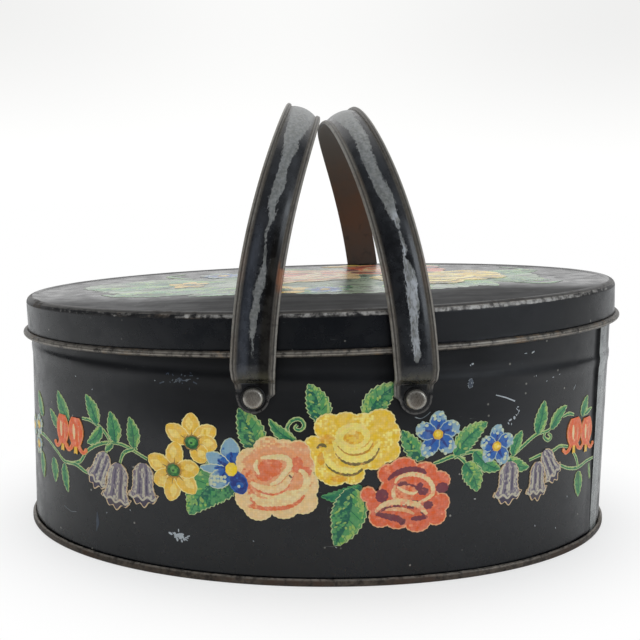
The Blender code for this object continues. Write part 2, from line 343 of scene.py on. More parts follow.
# ---- materials ----------------------------------------------------------------
def enamel(name, bloom):
    """Semi-gloss black enamel on tinplate: scuffs, scratches, specks, worn edges.

    Attributes: wear (0 sound paint, 1 edge rubbed to metal), a painted shade (near black, dull,
    little reflection), pale (a paler grey strip).
    """
    tree = Material(name)
    broad = tree.noise(22.0)
    patchy = tree.noise(120.0, detail=4.0, roughness=0.6)
    fine = tree.noise(900.0, roughness=0.6)
    colour = tree.mix(broad.ramp(0.35, 0.7), rgb(6, 8, 12), rgb(15, 17, 22))
    # greasy bloom and rubbed haze
    haze = patchy.ramp(0.5, 0.78) * broad.ramp(0.45, 0.66)
    colour = tree.mix(haze * bloom, colour, rgb(60, 64, 66))
    # fine hair scratches in two directions
    level = tree.noise(3.0, detail=2.0, roughness=0.5, distortion=0.6,
                       stretch=(40.0, 40.0, 900.0))
    upright = tree.noise(3.0, detail=2.0, roughness=0.5, distortion=0.9,
                         stretch=(700.0, 700.0, 60.0))
    scratch = tree.larger(level.ramp(0.735, 0.78), upright.ramp(0.745, 0.79))
    scratch = scratch * patchy.ramp(0.48, 0.6)
    colour = tree.mix(scratch * 0.55, colour, rgb(120, 122, 120))
    # pin-prick specks where the paint is gone, in a few of the cells
    from_centre = tree.voronoi(260.0)
    chosen = tree.vector("LENGTH", tree.voronoi(260.0, "Color")).ramp(1.33, 1.36)
    speck = from_centre.ramp(0.16, 0.06) * chosen
    colour = tree.mix(speck * 0.8, colour, rgb(150, 148, 140))
    # rubbed edges: bare grey metal, then brown
    edge = tree.attribute("wear") * 1.25 + (patchy * 0.9 - 0.83) + (fine - 0.5) * 0.7
    bare = edge.ramp(0.18, 0.42)
    metal = tree.mix(fine.ramp(0.35, 0.7), rgb(96, 94, 92), rgb(168, 166, 162))
    rust = tree.noise(60.0, detail=4.0).ramp(0.5, 0.72) * 0.8
    metal = tree.mix(rust, metal, rgb(92, 72, 52))
    colour = tree.mix(bare, colour, metal)
    roughness = tree.mix_number(patchy.ramp(0.3, 0.75), 0.20, 0.36) + haze * 0.15
    roughness = tree.mix_number(bare, roughness, 0.42)
    height = patchy * 0.5 + fine * 0.15 - bare * 0.6 - tree.larger(scratch, speck) * 0.5
    normal = tree.bump(height, strength=0.12, distance=0.00025)
    # painted shade beside the lapped seam, over the wall's middles and on the lid: near black,
    # dull and with little reflection; and a paler grey strip past the seam
    dim, pale = tree.attribute("dim"), tree.attribute("pale")
    paler_grey = tree.mix(patchy.ramp(0.35, 0.65), rgb(104, 108, 108), rgb(158, 162, 160))
    colour = tree.mix(pale * fine.ramp(0.25, 0.5, 0.55, 1.0), colour, paler_grey)
    drag = tree.noise(26.0, detail=4.0, roughness=0.62, stretch=(1.0, 7.0, 7.0))
    dim = dim * drag.ramp(0.30, 0.68, 0.80, 1.0)
    colour = tree.mix(dim, colour, tree.mix(drag.ramp(0.42, 0.60), rgb(7, 7, 8),
                                            rgb(15, 15, 16)))
    roughness = tree.mix_number(dim, roughness, 0.8)
    return tree.finish(colour, roughness, bare * 0.75, normal, 0.5 - dim * 0.45)


def bead_metal(name, dark, light, rusty, rust_amount, metallic, patchy=False):
    """Rolled edges rubbed to brown-grey metal with rust and leftover paint."""
    tree = Material(name)
    broad = tree.noise(55.0, detail=4.0, roughness=0.6)
    fine = tree.noise(420.0, detail=4.0, roughness=0.65)
    layered = tree.noise(160.0, detail=4.0, roughness=0.6, stretch=(1.0, 1.0, 6.0))
    colour = tree.mix(fine.ramp(0.32, 0.68), dark, light)
    rust = broad + (fine - 0.5) * 0.5
    rust = rust.ramp(0.62 - 0.25 * rust_amount, 0.78 - 0.25 * rust_amount)
    colour = tree.mix(rust, colour, rusty)
    colour = tree.mix(layered.ramp(0.60, 0.72) * 0.55, colour, rgb(38, 36, 36))
    wear = tree.attribute("wear")
    if patchy:
        bright = (fine * 0.55 + layered * 0.45 + wear * 0.42).ramp(0.66, 0.86)
        colour = tree.mix(bright, colour, tree.mix(fine.ramp(0.35, 0.68), rgb(92, 88, 84),
                                                   rgb(168, 166, 162)))
    else:
        # light metal where wear is high: rubbed metal, and on the lid's bead also painted
        # highlight lines
        colour = tree.mix(wear * fine.ramp(0.3, 0.55), colour, rgb(176, 170, 160))
    roughness = tree.mix_number(rust, 0.38, 0.72) + fine * 0.12
    normal = tree.bump(fine + rust * 0.5, strength=0.35, distance=0.00025)
    return tree.finish(colour, roughness, (1.0 - rust) * metallic, normal)


def bare_tin(name):
    """Inside of the tin and the underside: bright tinplate gone dull."""
    tree = Material(name)
    broad = tree.noise(35.0, detail=4.0)
    grain = tree.noise(260.0, stretch=(1.0, 1.0, 9.0))
    spangle = tree.node("ShaderNodeSeparateColor", {0: tree.voronoi(140.0, "Color")})
    colour = tree.mix(spangle.ramp(0.2, 0.8), rgb(132, 128, 118), rgb(160, 156, 146))
    colour = tree.mix(broad.ramp(0.5, 0.72), colour, rgb(118, 96, 66))
    spots = tree.voronoi(90.0).ramp(0.22, 0.08) * broad.ramp(0.45, 0.6)
    colour = tree.mix(spots, colour, rgb(84, 54, 34))
    roughness = tree.mix_number(grain.ramp(0.3, 0.7), 0.34, 0.5) + spots * 0.3
    return tree.finish(colour, roughness, 0.85 - spots * 0.7,
                       tree.bump(grain, strength=0.12, distance=0.0002))


def nickel(name):
    """Rivet domes, their middles darkened as a painted dark reflection; attribute out runs from
    0 in the middle to 1 at the edge.
    """
    tree = Material(name)
    fine = tree.noise(500.0, detail=4.0)
    brushed = tree.noise(900.0, stretch=(6.0, 1.0, 1.0))
    colour = tree.mix(fine.ramp(0.35, 0.7), rgb(152, 147, 139), rgb(170, 166, 157))
    colour = tree.mix(fine.ramp(0.62, 0.72) * 0.4, colour, rgb(110, 100, 90))
    # painted dark reflection: the middle of the dome a darker brown-grey
    middle = tree.attribute("out").ramp(0.90, 0.55)
    colour = tree.mix(middle * tree.noise(160.0).ramp(0.30, 0.62, 0.55, 0.95), colour,
                      rgb(104, 97, 88))
    return tree.finish(colour, tree.mix_number(brushed.ramp(0.3, 0.7), 0.24, 0.36), 0.62,
                       tree.bump(fine + brushed, strength=0.08, distance=0.00012))


def plain_steel(name):
    tree = Material(name)
    fine = tree.noise(300.0, detail=4.0)
    brushed = tree.noise(700.0, stretch=(1.0, 8.0, 1.0))
    colour = tree.mix(fine.ramp(0.35, 0.7), rgb(92, 88, 82), rgb(140, 136, 130))
    colour = tree.mix(fine.ramp(0.6, 0.75), colour, rgb(92, 64, 44))
    return tree.finish(colour, tree.mix_number(brushed.ramp(0.3, 0.7), 0.35, 0.55), 0.85,
                       tree.bump(brushed, strength=0.2, distance=0.0002))


def strap_paint(name):
    """Black enamel strap: silver streak rubbed along the crown, brown worn rims, and painted
    light: sheen and shade on the left strap, glints on the streak, shade and highlight on the
    rims.

    Attributes: u (-1..1 across), along (mm), rim, inner, jog (0..1) and those that
    build_handle lists with them.
    """
    tree = Material(name)
    across, along = tree.attribute("u"), tree.attribute("along")
    rim, inner, jog = (tree.attribute(key) for key in ("rim", "inner", "jog"))
    flat = tree.combine(across * 8.0, along * 0.35, tree.attribute("side") * 9.0)
    fine = tree.noise(900.0, detail=4.0, roughness=0.6)
    medium = tree.noise(170.0, detail=4.0, roughness=0.6)
    flake = tree.noise(0.62, detail=5.0, roughness=0.62, at=flat)
    patch = tree.noise(0.17, roughness=0.5, at=flat)
    paint = tree.mix(medium.ramp(0.35, 0.75), rgb(19, 20, 23), rgb(34, 36, 40))
    paint = tree.mix(patch.ramp(0.5, 0.75) * 0.2, paint, rgb(66, 68, 72))
    # left strap: painted reflection, a blue-grey sheen on its left; painted shade on its right,
    # brown-black, dull and with little reflection
    left = tree.attribute("side").ramp(-0.5, -0.9)
    low = tree.attribute("high").ramp(0.66, 0.48)
    blue = left * low * across.ramp(-0.12, -0.40)
    paint = tree.mix(blue * flake.ramp(0.30, 0.62, 0.45, 0.9), paint, rgb(62, 66, 74))
    painted_dull_shade = left * low * across.ramp(0.10, 0.38)
    paint = tree.mix(painted_dull_shade, paint, tree.mix(medium.ramp(0.35, 0.7), rgb(16, 15, 14),
                                           rgb(40, 38, 35)))
    # the streak: centred on attribute "streak", as wide as attribute "worn"
    off_centre = tree.math("ABSOLUTE", across - tree.attribute("streak"))
    ragged = tree.noise(2.3, detail=4.0, roughness=0.65, at=flat)
    edge = off_centre + (flake - 0.5) * 0.34 + (ragged - 0.5) * 0.30 - tree.attribute("worn")
    streak = edge.ramp(0.02, -0.03) * tree.attribute("worn").ramp(0.01, 0.05)
    grey = tree.mix(fine.ramp(0.35, 0.68), rgb(108, 110, 109), rgb(140, 141, 138))
    # painted glints: bluish white flecks on the streak where attribute bright is high
    bright = flake.ramp(0.40, 0.58) * tree.attribute("bright")
    grey = tree.mix(bright * 0.8, grey, rgb(190, 194, 200))
    colour = tree.mix(streak, paint, grey)
    # flecks either side of it
    fleck = tree.noise(2.6, detail=4.0, roughness=0.7, at=flat).ramp(0.655, 0.70) \
        * off_centre.ramp(0.50, 0.20)
    colour = tree.mix(fleck * 0.8, colour, rgb(150, 154, 158))
    # rims: painted shade on the inner half and a painted highlight on the outer half, then
    # brown, a darker line along the groove, leftover paint and rust
    metal = tree.mix(fine.ramp(0.30, 0.72), rgb(104, 100, 93), rgb(138, 133, 124))
    outer_half = tree.math("ABSOLUTE", across).ramp(0.86, 0.92)
    metal = tree.mix(outer_half, tree.mix(0.5, metal, rgb(78, 74, 69)),
                     tree.mix(0.3, metal, rgb(164, 161, 154)))
    metal = tree.mix(tree.noise(60.0, detail=4.0).ramp(0.50, 0.75, 0.0, 0.6), metal,
                     rgb(96, 82, 68))
    metal = tree.mix(tree.attribute("groove") * 0.9, metal, rgb(34, 29, 26))
    metal = tree.mix(tree.noise(240.0, detail=4.0).ramp(0.60, 0.70) * 0.45, metal,
                     rgb(40, 39, 39))
    metal = tree.mix(tree.attribute("rust") * medium.ramp(0.35, 0.55), metal,
                     rgb(160, 110, 82))
    colour = tree.mix(rim, colour, metal)
    # darker brown in the valley beside the rims
    colour = tree.mix(tree.attribute("valley") * 0.85, colour, rgb(24, 20, 17))
    # flat round tab under the rivet, kept black, its edge rubbed
    colour = tree.mix(tree.attribute("tab"), colour,
                      tree.mix(medium.ramp(0.3, 0.7), rgb(12, 12, 13), rgb(24, 23, 23)))
    colour = tree.mix(tree.attribute("tabrim") * fine.ramp(0.3, 0.55), colour,
                      rgb(84, 82, 80))
    # sloped step above the rivet
    colour = tree.mix(jog * medium.ramp(0.3, 0.6), colour, rgb(62, 60, 48))
    # flat inner face, brown with rust bloom
    inside = tree.mix(tree.noise(45.0, detail=5.0, roughness=0.65).ramp(0.38, 0.68),
                      rgb(82, 67, 58), rgb(94, 67, 50))
    inside = tree.mix(medium.ramp(0.55, 0.72) * 0.5, inside, rgb(48, 44, 42))
    inside = tree.mix(tree.attribute("high").ramp(0.6, 1.0), inside, rgb(84, 82, 80))
    colour = tree.mix(inner, colour, inside)
    metallic = tree.larger(streak, rim * 0.6) * 0.42 * (1.0 - inner)
    roughness = tree.mix_number(medium.ramp(0.3, 0.7), 0.2, 0.34)
    for mask, value in ((streak, 0.4), (rim, 0.45), (inner, 0.62)):
        roughness = tree.mix_number(mask, roughness, value)
    height = medium * 0.5 - streak * 0.5 + fine * 0.2
    specular = 0.5 - painted_dull_shade * 0.42 * (1.0 - tree.larger(rim, inner))
    return tree.finish(colour, roughness, metallic,
                       tree.bump(height, strength=0.22, distance=0.00025), specular)


def print_ink(name, fade):
    """Litho flowers: two inks per patch, broken up stitch by stitch like bead work.

    Attributes: inkA, inkB (colours), mm (flat position), tone (0..1 towards inkB),
    plain (1 = outline ink, no stitch mottling).
    """
    tree = Material(name)
    flat = tree.attribute("mm", "Vector")
    stitch = 0.92    # mm from one stitch to the next
    scaled = tree.vector("SCALE", flat, 1.0 / stitch)
    cell = tree.vector("FLOOR", scaled)
    within = tree.vector("SUBTRACT", tree.vector("SUBTRACT", scaled, cell), (0.5, 0.5, 0.0))
    per_stitch = tree.node("ShaderNodeTexWhiteNoise", {"Vector": cell}, "Value")
    lump = tree.noise(0.33, roughness=0.6, at=cell)
    soft = tree.noise(0.42, detail=4.0, roughness=0.6, at=flat)
    balance = lump * 0.55 + soft * 0.45 + (per_stitch - 0.5) * 0.16 \
        + (tree.attribute("tone") - 0.5)
    plain = tree.attribute("plain")
    first, second = tree.attribute("inkA", "Color"), tree.attribute("inkB", "Color")
    colour = tree.mix(balance.ramp(0.44, 0.58), first, second)
    colour = tree.mix(plain, colour, first)
    # bead relief: light in the middle of a stitch, darker between
    radius = tree.vector("LENGTH", within)
    bead = tree.mix_number(plain, radius.ramp(0.18, 0.62, 1.015, 0.955), 1.0)
    colour = tree.mix(1.0, colour, tree.combine(bead, bead, bead), "MULTIPLY")
    colour = tree.node("ShaderNodeHueSaturation", {
        "Color": colour, "Value": per_stitch.ramp(0.0, 1.0, 0.94, 1.03),
        "Saturation": soft.ramp(0.3, 0.7, 1.08, 0.92)})
    # yellowed with age
    age = tree.noise(55.0, detail=5.0, roughness=0.62)
    fine = tree.noise(1100.0)
    colour = tree.mix(age.ramp(0.5, 0.8, 0.0, 0.22), colour, rgb(150, 132, 92))
    if fade > 0:
        worn = tree.noise(130.0, detail=5.0, roughness=0.68, stretch=(0.5, 1.6, 1.0))
        away = (worn + fine * 0.10).ramp(0.66 - 0.18 * fade, 0.70 - 0.18 * fade)
        colour = tree.mix(away * 0.8, colour, rgb(58, 60, 56))
        colour = tree.mix(0.22 * fade, colour, rgb(120, 128, 112))
    chip = tree.noise(700.0).ramp(0.715, 0.74) * age.ramp(0.45, 0.6)
    colour = tree.mix(chip * 0.7, colour, rgb(60, 52, 44))
    roughness = tree.mix_number(age.ramp(0.3, 0.7), 0.30 - 0.14 * fade, 0.44 - 0.22 * fade)
    normal = tree.bump(radius.ramp(0.1, 0.7, 0.3, 0.0) + fine * 0.2,
                       strength=0.06 - 0.04 * fade, distance=0.0001)
    return tree.finish(colour, roughness, 0.0, normal, 0.5 + 0.35 * fade)


MATERIALS = {
    "wall": enamel("enamel_wall", bloom=0.13),
    "lid": enamel("enamel_lid", bloom=0.05),
    "seam": bead_metal("bottom_seam_worn", rgb(46, 40, 35), rgb(96, 86, 76),
                       rgb(66, 50, 38), rust_amount=0.6, metallic=0.5),
    "bead": bead_metal("lid_bead_worn", rgb(46, 42, 38), rgb(98, 92, 84),
                       rgb(98, 78, 54), rust_amount=0.35, metallic=0.5),
    "tin": bare_tin("dull_tinplate"),
    "strap": strap_paint("strap_enamel"),
    "nickel": nickel("dull_nickel"),
    "steel": plain_steel("plain_steel"),
    "ring": bead_metal("rivet_ring_painted", rgb(14, 13, 14), rgb(34, 32, 31),
                       rgb(34, 28, 24), rust_amount=0.4, metallic=0.1),
    "roll": bead_metal("lid_shoulder_rubbed", rgb(26, 26, 28), rgb(54, 53, 53),
                       rgb(66, 56, 46), rust_amount=0.3, metallic=0.35, patchy=True),
    "ink": print_ink("litho_print", fade=0.0),
    "ink_lid": print_ink("litho_print_lid", fade=0.55),
}


# ---- swept sheets -------------------------------------------------------------
def sweep_oval(section, stations, closed, relief=None):
    """Sweep a section of (out, z) round the oval, one ring of faces back to the start."""
    section = np.asarray(section, float)
    rows = []
    for around in stations:
        out = section[:, 0]
        if relief:
            out = out + relief(around, out, section[:, 1])
        rows.append(on_wall(np.full(len(section), around), section[:, 1], out))
    count, size = len(stations), len(section)
    faces = []
    for i in range(count):
        here, there = i * size, ((i + 1) % count) * size
        for j in range(size if closed else size - 1):
            k = (j + 1) % size
            faces.append((here + j, here + k, there + k, there + j))
    return np.concatenate(rows), faces


def panel(verts, faces, face_mats, loop, height_at, rings, material, up):
    """Close a loop of vertex numbers with a waved panel; height_at takes x, y, scale."""
    outline = np.array([verts[i] for i in loop])
    centre = outline.mean(0)
    count = len(outline)
    previous = list(loop)
    for k in range(1, rings + 1):
        scale = max(1.0 - k / rings, 0.02)
        row = centre + (outline - centre) * scale
        row[:, 2] = height_at(row[:, 0], row[:, 1], scale)
        current = list(range(len(verts), len(verts) + count))
        verts.extend(row)
        for j in range(count):
            after = (j + 1) % count
            face = (previous[j], previous[after], current[after], current[j])
            faces.append(face if up else face[::-1])
            face_mats.append(material)
        previous = current
    centre[2] = height_at(centre[0], centre[1], 0.0)
    middle = len(verts)
    verts.append(centre)
    for j in range(count):
        face = (previous[j], previous[(j + 1) % count], middle)
        faces.append(face if up else face[::-1])
        face_mats.append(material)


def fold_section(line, outer, inner, overshoot):
    """Open section up the outer face, round the free end of the line, down the inner."""
    tip = np.array(line[0]) + (np.array(line[0]) - np.array(line[1])) * overshoot
    return np.vstack([outer[::-1], [tip], inner])


def section_ends(section, stations):
    """Vertex numbers of the first and the last section point at every station."""
    size = len(section)
    total = size * len(stations)
    return range(0, total, size), range(size - 1, total, size)


def wall_stations():
    """Even stations round the wall, closer together at the lapped seam."""
    even = np.arange(0.0, GIRTH, GIRTH / 300)
    even = even[(even < LAP_AT - 9.5) | (even > LAP_AT + 6.5)]
    dense = [LAP_AT + np.arange(-9.0, -1.0, 0.5), LAP_AT + np.arange(-1.0, 1.2, 0.12),
             LAP_AT + np.arange(1.2, 6.0, 0.5)]
    return np.sort(np.concatenate([even] + dense))


def stop_bead(z):
    """Shallow swage round the wall: sharp above, long and soft below."""
    return STOP_OUT * np.where(z > STOP_Z, np.exp(-((z - STOP_Z) / 1.7) ** 2),
                               np.exp(-((z - STOP_Z) / 3.2) ** 2))


def wall_relief(around, z):
    """How far the outer skin stands off the plain oval: swage, lap and slight ripples."""
    around = np.asarray(around, float)
    z = np.asarray(z, float)
    past = np.mod(around, GIRTH) - LAP_AT
    rise = 0.34 * smooth(-6.5, -0.4, past) * (past < 0.0)
    fall = -0.22 * np.exp(-(np.maximum(past, 0.0) / 0.5) ** 2) * (past >= 0.0) \
        - 0.05 * ((past >= 0.0) & (past < 4.0))
    ends = smooth(WALL_FOOT + 0.2, WALL_FOOT + 3.0, z) * smooth(RIM_TOP + 0.5, RIM_TOP - 2.5, z)
    turn = 2 * math.pi * around / GIRTH
    ripple = 0.05 * np.sin(8 * turn + 1.0) * np.sin(z * 0.05 + np.sin(2 * turn)) \
        + 0.03 * np.sin(21 * turn) * np.cos(z * 0.08)
    ripple = ripple * smooth(2.0, 12.0, z) * smooth(98.0, 80.0, z)
    return (rise + fall) * ends + ripple + stop_bead(z)


def wall_paint(around, z):
    """Point attributes of the wall's enamel."""
    past = around - LAP_AT
    wear = 0.30 * smooth(4.5, 1.0, z) + 0.10 * smooth(1.0, 0.0, abs(z - STOP_Z))
    wear = wear + 0.30 * np.exp(-(past / 0.5) ** 2)
    wear = np.maximum(wear, 0.7 * (z > RIM_TOP - 2.2))
    # painted shadow before the lap, wider towards the top
    reach = 1.2 + 6.0 * smooth(5.0, 70.0, z)
    dim = smooth(-reach, -reach * 0.35, past) * (past < 0.25) * (z < RIM_TOP - 4)
    # painted shade above, just below and along the swage, over the front and back middles
    middle = np.abs(np.mod(around + GIRTH / 2, GIRTH) - GIRTH / 2)
    middle = np.minimum(middle, GIRTH / 2 - middle)
    dim = np.maximum(dim, (0.10 + 0.50 * smooth(118.0, 50.0, middle))
                     * smooth(STOP_Z + 1.5, STOP_Z + 6.0, z))
    dim = np.maximum(dim, 0.46 * smooth(104.0, 52.0, middle) * smooth(50.0, 68.0, z)
                     * smooth(STOP_Z + 7.0, STOP_Z + 3.0, z))
    dim = np.maximum(dim, 0.50 * np.exp(-((z - STOP_Z - 1.0) / 2.6) ** 2)
                     * smooth(122.0, 100.0, middle))
    # a paler grey strip just past the lap
    pale = smooth(0.2, 0.5, past) * smooth(13.0, 10.5, past)
    return {"wear": np.clip(wear, 0, 1), "dim": dim, "pale": pale}


def build_wall():
    half = SHEET / 2
    heights = np.concatenate([np.linspace(WALL_FOOT, STOP_Z - 5.5, 26),
                              np.linspace(STOP_Z - 5.0, STOP_Z + 3.0, 33),
                              np.linspace(STOP_Z + 4.0, RIM_TOP - RIM_R, 8)])
    line = [(-half + stop_bead(z), z) for z in heights[:-1]]
    line += arc_points(-half - RIM_R, RIM_TOP - RIM_R, RIM_R, 0.0, 240.0, 14)
    section = sheet_section(line, SHEET)
    stations = wall_stations()

    def relief(around, out, z):
        # near the lap only the outer skin moves
        outer = smooth(-0.45, -0.1, out - stop_bead(z))
        shift = wall_relief(np.full(len(z), around), z) - stop_bead(z)
        near_lap = abs(float(np.mod(around, GIRTH)) - LAP_AT) < 8.0
        return shift * (outer if near_lap else 1.0)
    verts, faces = sweep_oval(section, stations, True, relief)
    size = len(section)
    # painted outside, bare inside
    place = np.arange(len(faces)) % size
    inside = (place >= len(line) - 4) & (place < size - 1)
    wall = mesh_object("body_wall_sheet", verts, faces, [MATERIALS["wall"], MATERIALS["tin"]],
                       wall_paint(np.repeat(stations, size), verts[:, 2]),
                       inside.astype(int), 50)
    register(wall, "tin_body", "body_wall")


def build_bottom():
    half = SHEET / 2
    outer, inner = SEAM_OUT - half, -SHEET - 0.5 - half
    line = arc_points(outer - 0.6, SEAM_H - half - 0.6, 0.6, 108.0, 0.0, 10)
    line += arc_points(outer - 0.7, half + 0.7, 0.7, 0.0, -90.0, 10)
    line += [(inner - 0.4, half), (inner - 0.75, half + 0.12), (inner - 0.95, half + 0.4),
             (inner - 1.5, FLOOR_Z - half - 0.5), (inner - 1.8, FLOOR_Z - half - 0.12),
             (inner - 2.3, FLOOR_Z - half)]
    section = fold_section(line, offset_line(line, half), offset_line(line, -half), 0.6)
    stations = np.arange(0.0, GIRTH, GIRTH / 240)
    verts, faces = sweep_oval(section, stations, False)
    verts = list(verts)
    first, last = section_ends(section, stations)
    face_mats = [0 if j < len(line) + 4 and section[j, 0] > inner - 0.6 else 1
                 for j in range(len(section) - 1)] * len(stations)
    for loop, up in ((first, False), (last, True)):
        level = verts[loop[0]][2]

        def wave(x, y, scale):
            return level + 0.25 * np.sin(x * 0.05) * np.cos(y * 0.06) * (1 - scale)
        panel(verts, faces, face_mats, loop, wave, 9, 1, up)
    x, y, z = np.array(verts).T
    wear = 0.35 * smooth(2.2, 3.0, z) * (np.hypot(x / HALF_LENGTH, y / HALF_WIDTH) > 1.0)
    bottom = mesh_object("bottom_seam", verts, faces, [MATERIALS["seam"], MATERIALS["tin"]],
                         {"wear": wear}, face_mats, 50)
    fix_normals(bottom)
    register(bottom, "tin_body", "bottom_panel")


# ---- lid ----------------------------------------------------------------------
def lid_sag(x, y):
    """Shape of the lid's panel: a low dome with soft dents."""
    radius = np.clip(np.hypot(x / (HALF_LENGTH - 6), y / (HALF_WIDTH - 6)), 0, 1)
    dents = 0.16 * np.sin(x * 0.045 + 0.6) * np.cos(y * 0.05 - 0.3) \
        + 0.10 * np.sin(x * 0.11 + y * 0.07) * np.cos(y * 0.09 + 1.0)
    return -0.35 + 0.55 * (1 - radius ** 2) + dents * (1 - radius ** 4)


def lid_rise(x, y):
    """Height of the lid's panel above its own edge."""
    return lid_sag(x, y) - lid_sag(HALF_LENGTH - 7.0, 0.0)


def lid_paint(verts, curl_z, curl_r, skirt_top):
    """Wear, painted shade and painted highlight lines of the lid, from points in its level
    frame.
    """
    x, y, z = verts.T
    radius = np.hypot(x / (HALF_LENGTH + 1.9), y / (HALF_WIDTH + 1.9))
    flat = radius < 0.972
    angle = np.degrees(np.arctan2(y / HALF_WIDTH, x / HALF_LENGTH))
    wear = np.where(flat, 0.12, 0.30 * smooth(LID_TOP - 3.0, LID_TOP - 1.2, z))
    # unevenly rubbed just under the shoulder
    patch = 0.10 * np.cos(np.radians(angle * 3 + 40)) + 0.06 * np.cos(np.radians(angle * 7))
    wear = np.where((z > LID_TOP - 3.2) & ~flat, wear + patch, wear)
    # light metal bands round the bead at two heights: rubbed metal and painted highlight lines
    crest_wear_and_highlight = np.exp(-((z - (curl_z + 0.55)) / 0.28) ** 2) * 0.55 \
        + np.exp(-((z - (curl_z - 0.35)) / 0.25) ** 2) * 0.60
    wear = np.where(z < curl_z + curl_r + 0.3, crest_wear_and_highlight, wear)
    # the roll is bright metal round the right front, painted at the ends
    roll = smooth(skirt_top - 0.1, skirt_top + 0.5, z) \
        * smooth(LID_TOP - 0.26 * LID_SHOULDER, LID_TOP - 0.45 * LID_SHOULDER, z)
    bright = 0.18 + 0.74 * np.exp(-((angle + 60) / 34.0) ** 2) \
        + 0.20 * np.exp(-((angle + 112) / 24.0) ** 2)
    wear = np.where((z > skirt_top) & ~flat, 0.05 + bright * roll, wear)
    # painted shade on the near edge of the panel: darker and dull, so that it mirrors little
    near = smooth(-26.0, -56.0, y + 5.0 * np.sin(x * 0.07)) \
        * smooth(1.0, 0.985, radius) * (1 - 0.35 * smooth(-30.0, -95.0, x))
    # painted shade on the skirt, right of the middle at the front
    painted_skirt_shade = 0.45 * np.exp(-((x - 62.0) / 34.0) ** 2) * smooth(0.0, -30.0, y) \
        * smooth(curl_z + 1.5, curl_z + 3.0, z)
    dim = np.where(z > LID_TOP - 1.8, 0.72 * near, np.where(z < skirt_top, painted_skirt_shade, 0.0))
    return {"wear": np.maximum(wear, 0.0), "dim": dim}


def build_lid():
    half = SHEET / 2
    middle = LID_OUT + half
    curl_r = LID_CURL_R - half
    curl_z = LID_SEAT_Z + LID_CURL_R
    curl_steps = 30
    line = arc_points(middle + curl_r, curl_z, curl_r, 130.0, -180.0, curl_steps)
    top = LID_TOP - half
    skirt_top = top - LID_SHOULDER + half
    line += [(middle, z) for z in np.linspace(curl_z + 0.4, skirt_top - 0.4, 12)]
    edge = middle - LID_SHOULDER + half
    line += arc_points(edge, skirt_top, LID_SHOULDER - half, 0.0, 90.0, 12)
    # (in from the shoulder, down from the top): the sunken border of the panel
    line += [(edge - x, top - z) for x, z in (
        (0.5, 0.01), (1.0, 0.08), (1.35, 0.20), (1.65, 0.34), (2.0, 0.44), (2.4, 0.43),
        (2.8, 0.39), (3.3, 0.36), (4.2, 0.35))]
    section = fold_section(line, offset_line(line, -half), offset_line(line, half), 0.5)
    stations = np.arange(0.0, GIRTH, GIRTH / 300)
    verts, faces = sweep_oval(section, stations, False)
    verts = list(verts)
    first, last = section_ends(section, stations)
    paint, bead, tin, roll, painted_dark_line = range(5)
    curl_points = curl_steps + 1

    def material_at(j):
        if j >= len(line) + curl_points:
            return tin
        if j >= len(line) - curl_points:
            return bead
        (x0, z0), (x1, z1) = section[j], section[j + 1]
        slope = math.degrees(math.atan2(abs(z0 - z1), abs(x0 - x1)))
        if 0.5 * (z0 + z1) > skirt_top:
            if 50 < slope < 89:
                return roll       # rubbed outer roll of the shoulder
            # painted shade: a dark line along the top of the roll, in the rivet rings' black
            # paint
            if 2 < slope <= 50 and x0 > edge - 0.3:
                return painted_dark_line      # dark line along it
        return paint
    face_mats = [material_at(j) for j in range(len(section) - 1)] * len(stations)
    for loop, material, up in ((first, paint, True), (last, tin, False)):
        level = verts[loop[0]][2]

        def skin(x, y, scale):
            return level + lid_rise(x, y) * smooth(1.0, 0.9, scale)
        panel(verts, faces, face_mats, loop, skin, 26, material, up)
    verts = np.array(verts)
    lid = mesh_object("lid_shell", tip_lid(verts), faces,
                      [MATERIALS[key] for key in ("lid", "bead", "tin", "roll", "ring")],
                      lid_paint(verts, curl_z, curl_r, skirt_top), face_mats, 50)
    fix_normals(lid)
    register(lid, "lid", "lid")


# ---- handles ------------------------------------------------------------------
def strap_path():
    """Strap centre line as (y, height over the pivot), from the front foot to the rear."""
    foot = [(TAB_Y, -TAB_R * math.cos(a)) for a in np.linspace(0.0, math.pi / 2, 12)]
    foot += [(TAB_Y, h) for h in np.arange(0.4, STEP_LOW, 0.45)]
    for k in np.linspace(0.0, 1.0, 9)[:-1]:
        ease = 0.5 - 0.5 * math.cos(math.pi * k)
        foot.append((TAB_Y + (ARCH_Y - 0.12 - TAB_Y) * ease,
                     STEP_LOW + (STEP_HIGH - STEP_LOW) * k))
    angles = np.linspace(0.0, math.pi, 2401)
    power = 2.0 / ARCH_POWER
    height = ARCH_H * np.clip(np.sin(angles), 0.0, 1.0) ** power
    y = -ARCH_Y * np.sign(np.cos(angles)) * np.abs(np.cos(angles)) ** power
    keep = height >= STEP_HIGH
    arch = resample(np.stack([y[keep], height[keep]], -1), 2.6)
    return np.array([(-y, h) for y, h in foot] + [tuple(q) for q in arch] + foot[::-1])


def strap_half_width(height, outer):
    """Half width of the strap at this height, on its outer or inner edge."""
    base = 0.5 * (STRAP_W + (CROWN_W - STRAP_W) * (max(height, 0.0) / ARCH_H) ** 2)
    tab = math.sqrt(max(TAB_R ** 2 - min(height, 0.0) ** 2, 0.05))
    if outer:
        if height < 3.2:
            return tab + (0.25 if height > 0 else 0.0)
        return 6.5 + (base - 6.5) * float(smooth(3.2, 11.5, height))
    if height < 1.2:
        return tab + (STRAP_FOOT_W - tab) * float(smooth(-0.9, 1.2, height))
    return STRAP_FOOT_W if height < 12 else base


def rim_profile(edge, lift, fractions):
    """Rolled rim inwards from a signed edge: (across, out, rim, groove, valley)."""
    inwards = -math.copysign(STRAP_RIM_W, edge)
    points = []
    for q in fractions:
        bead = math.sin(math.pi * q) ** 0.6 * 0.86 if 0 < q < 1 else 0.0
        groove = math.exp(-((q - 0.5) / 0.13) ** 2)
        points.append((edge + inwards * q * min(1.0, abs(edge) / 5.0),
                       STRAP_T / 2 + lift * (bead - 0.22 * groove), lift, groove, 0.0))
    return points


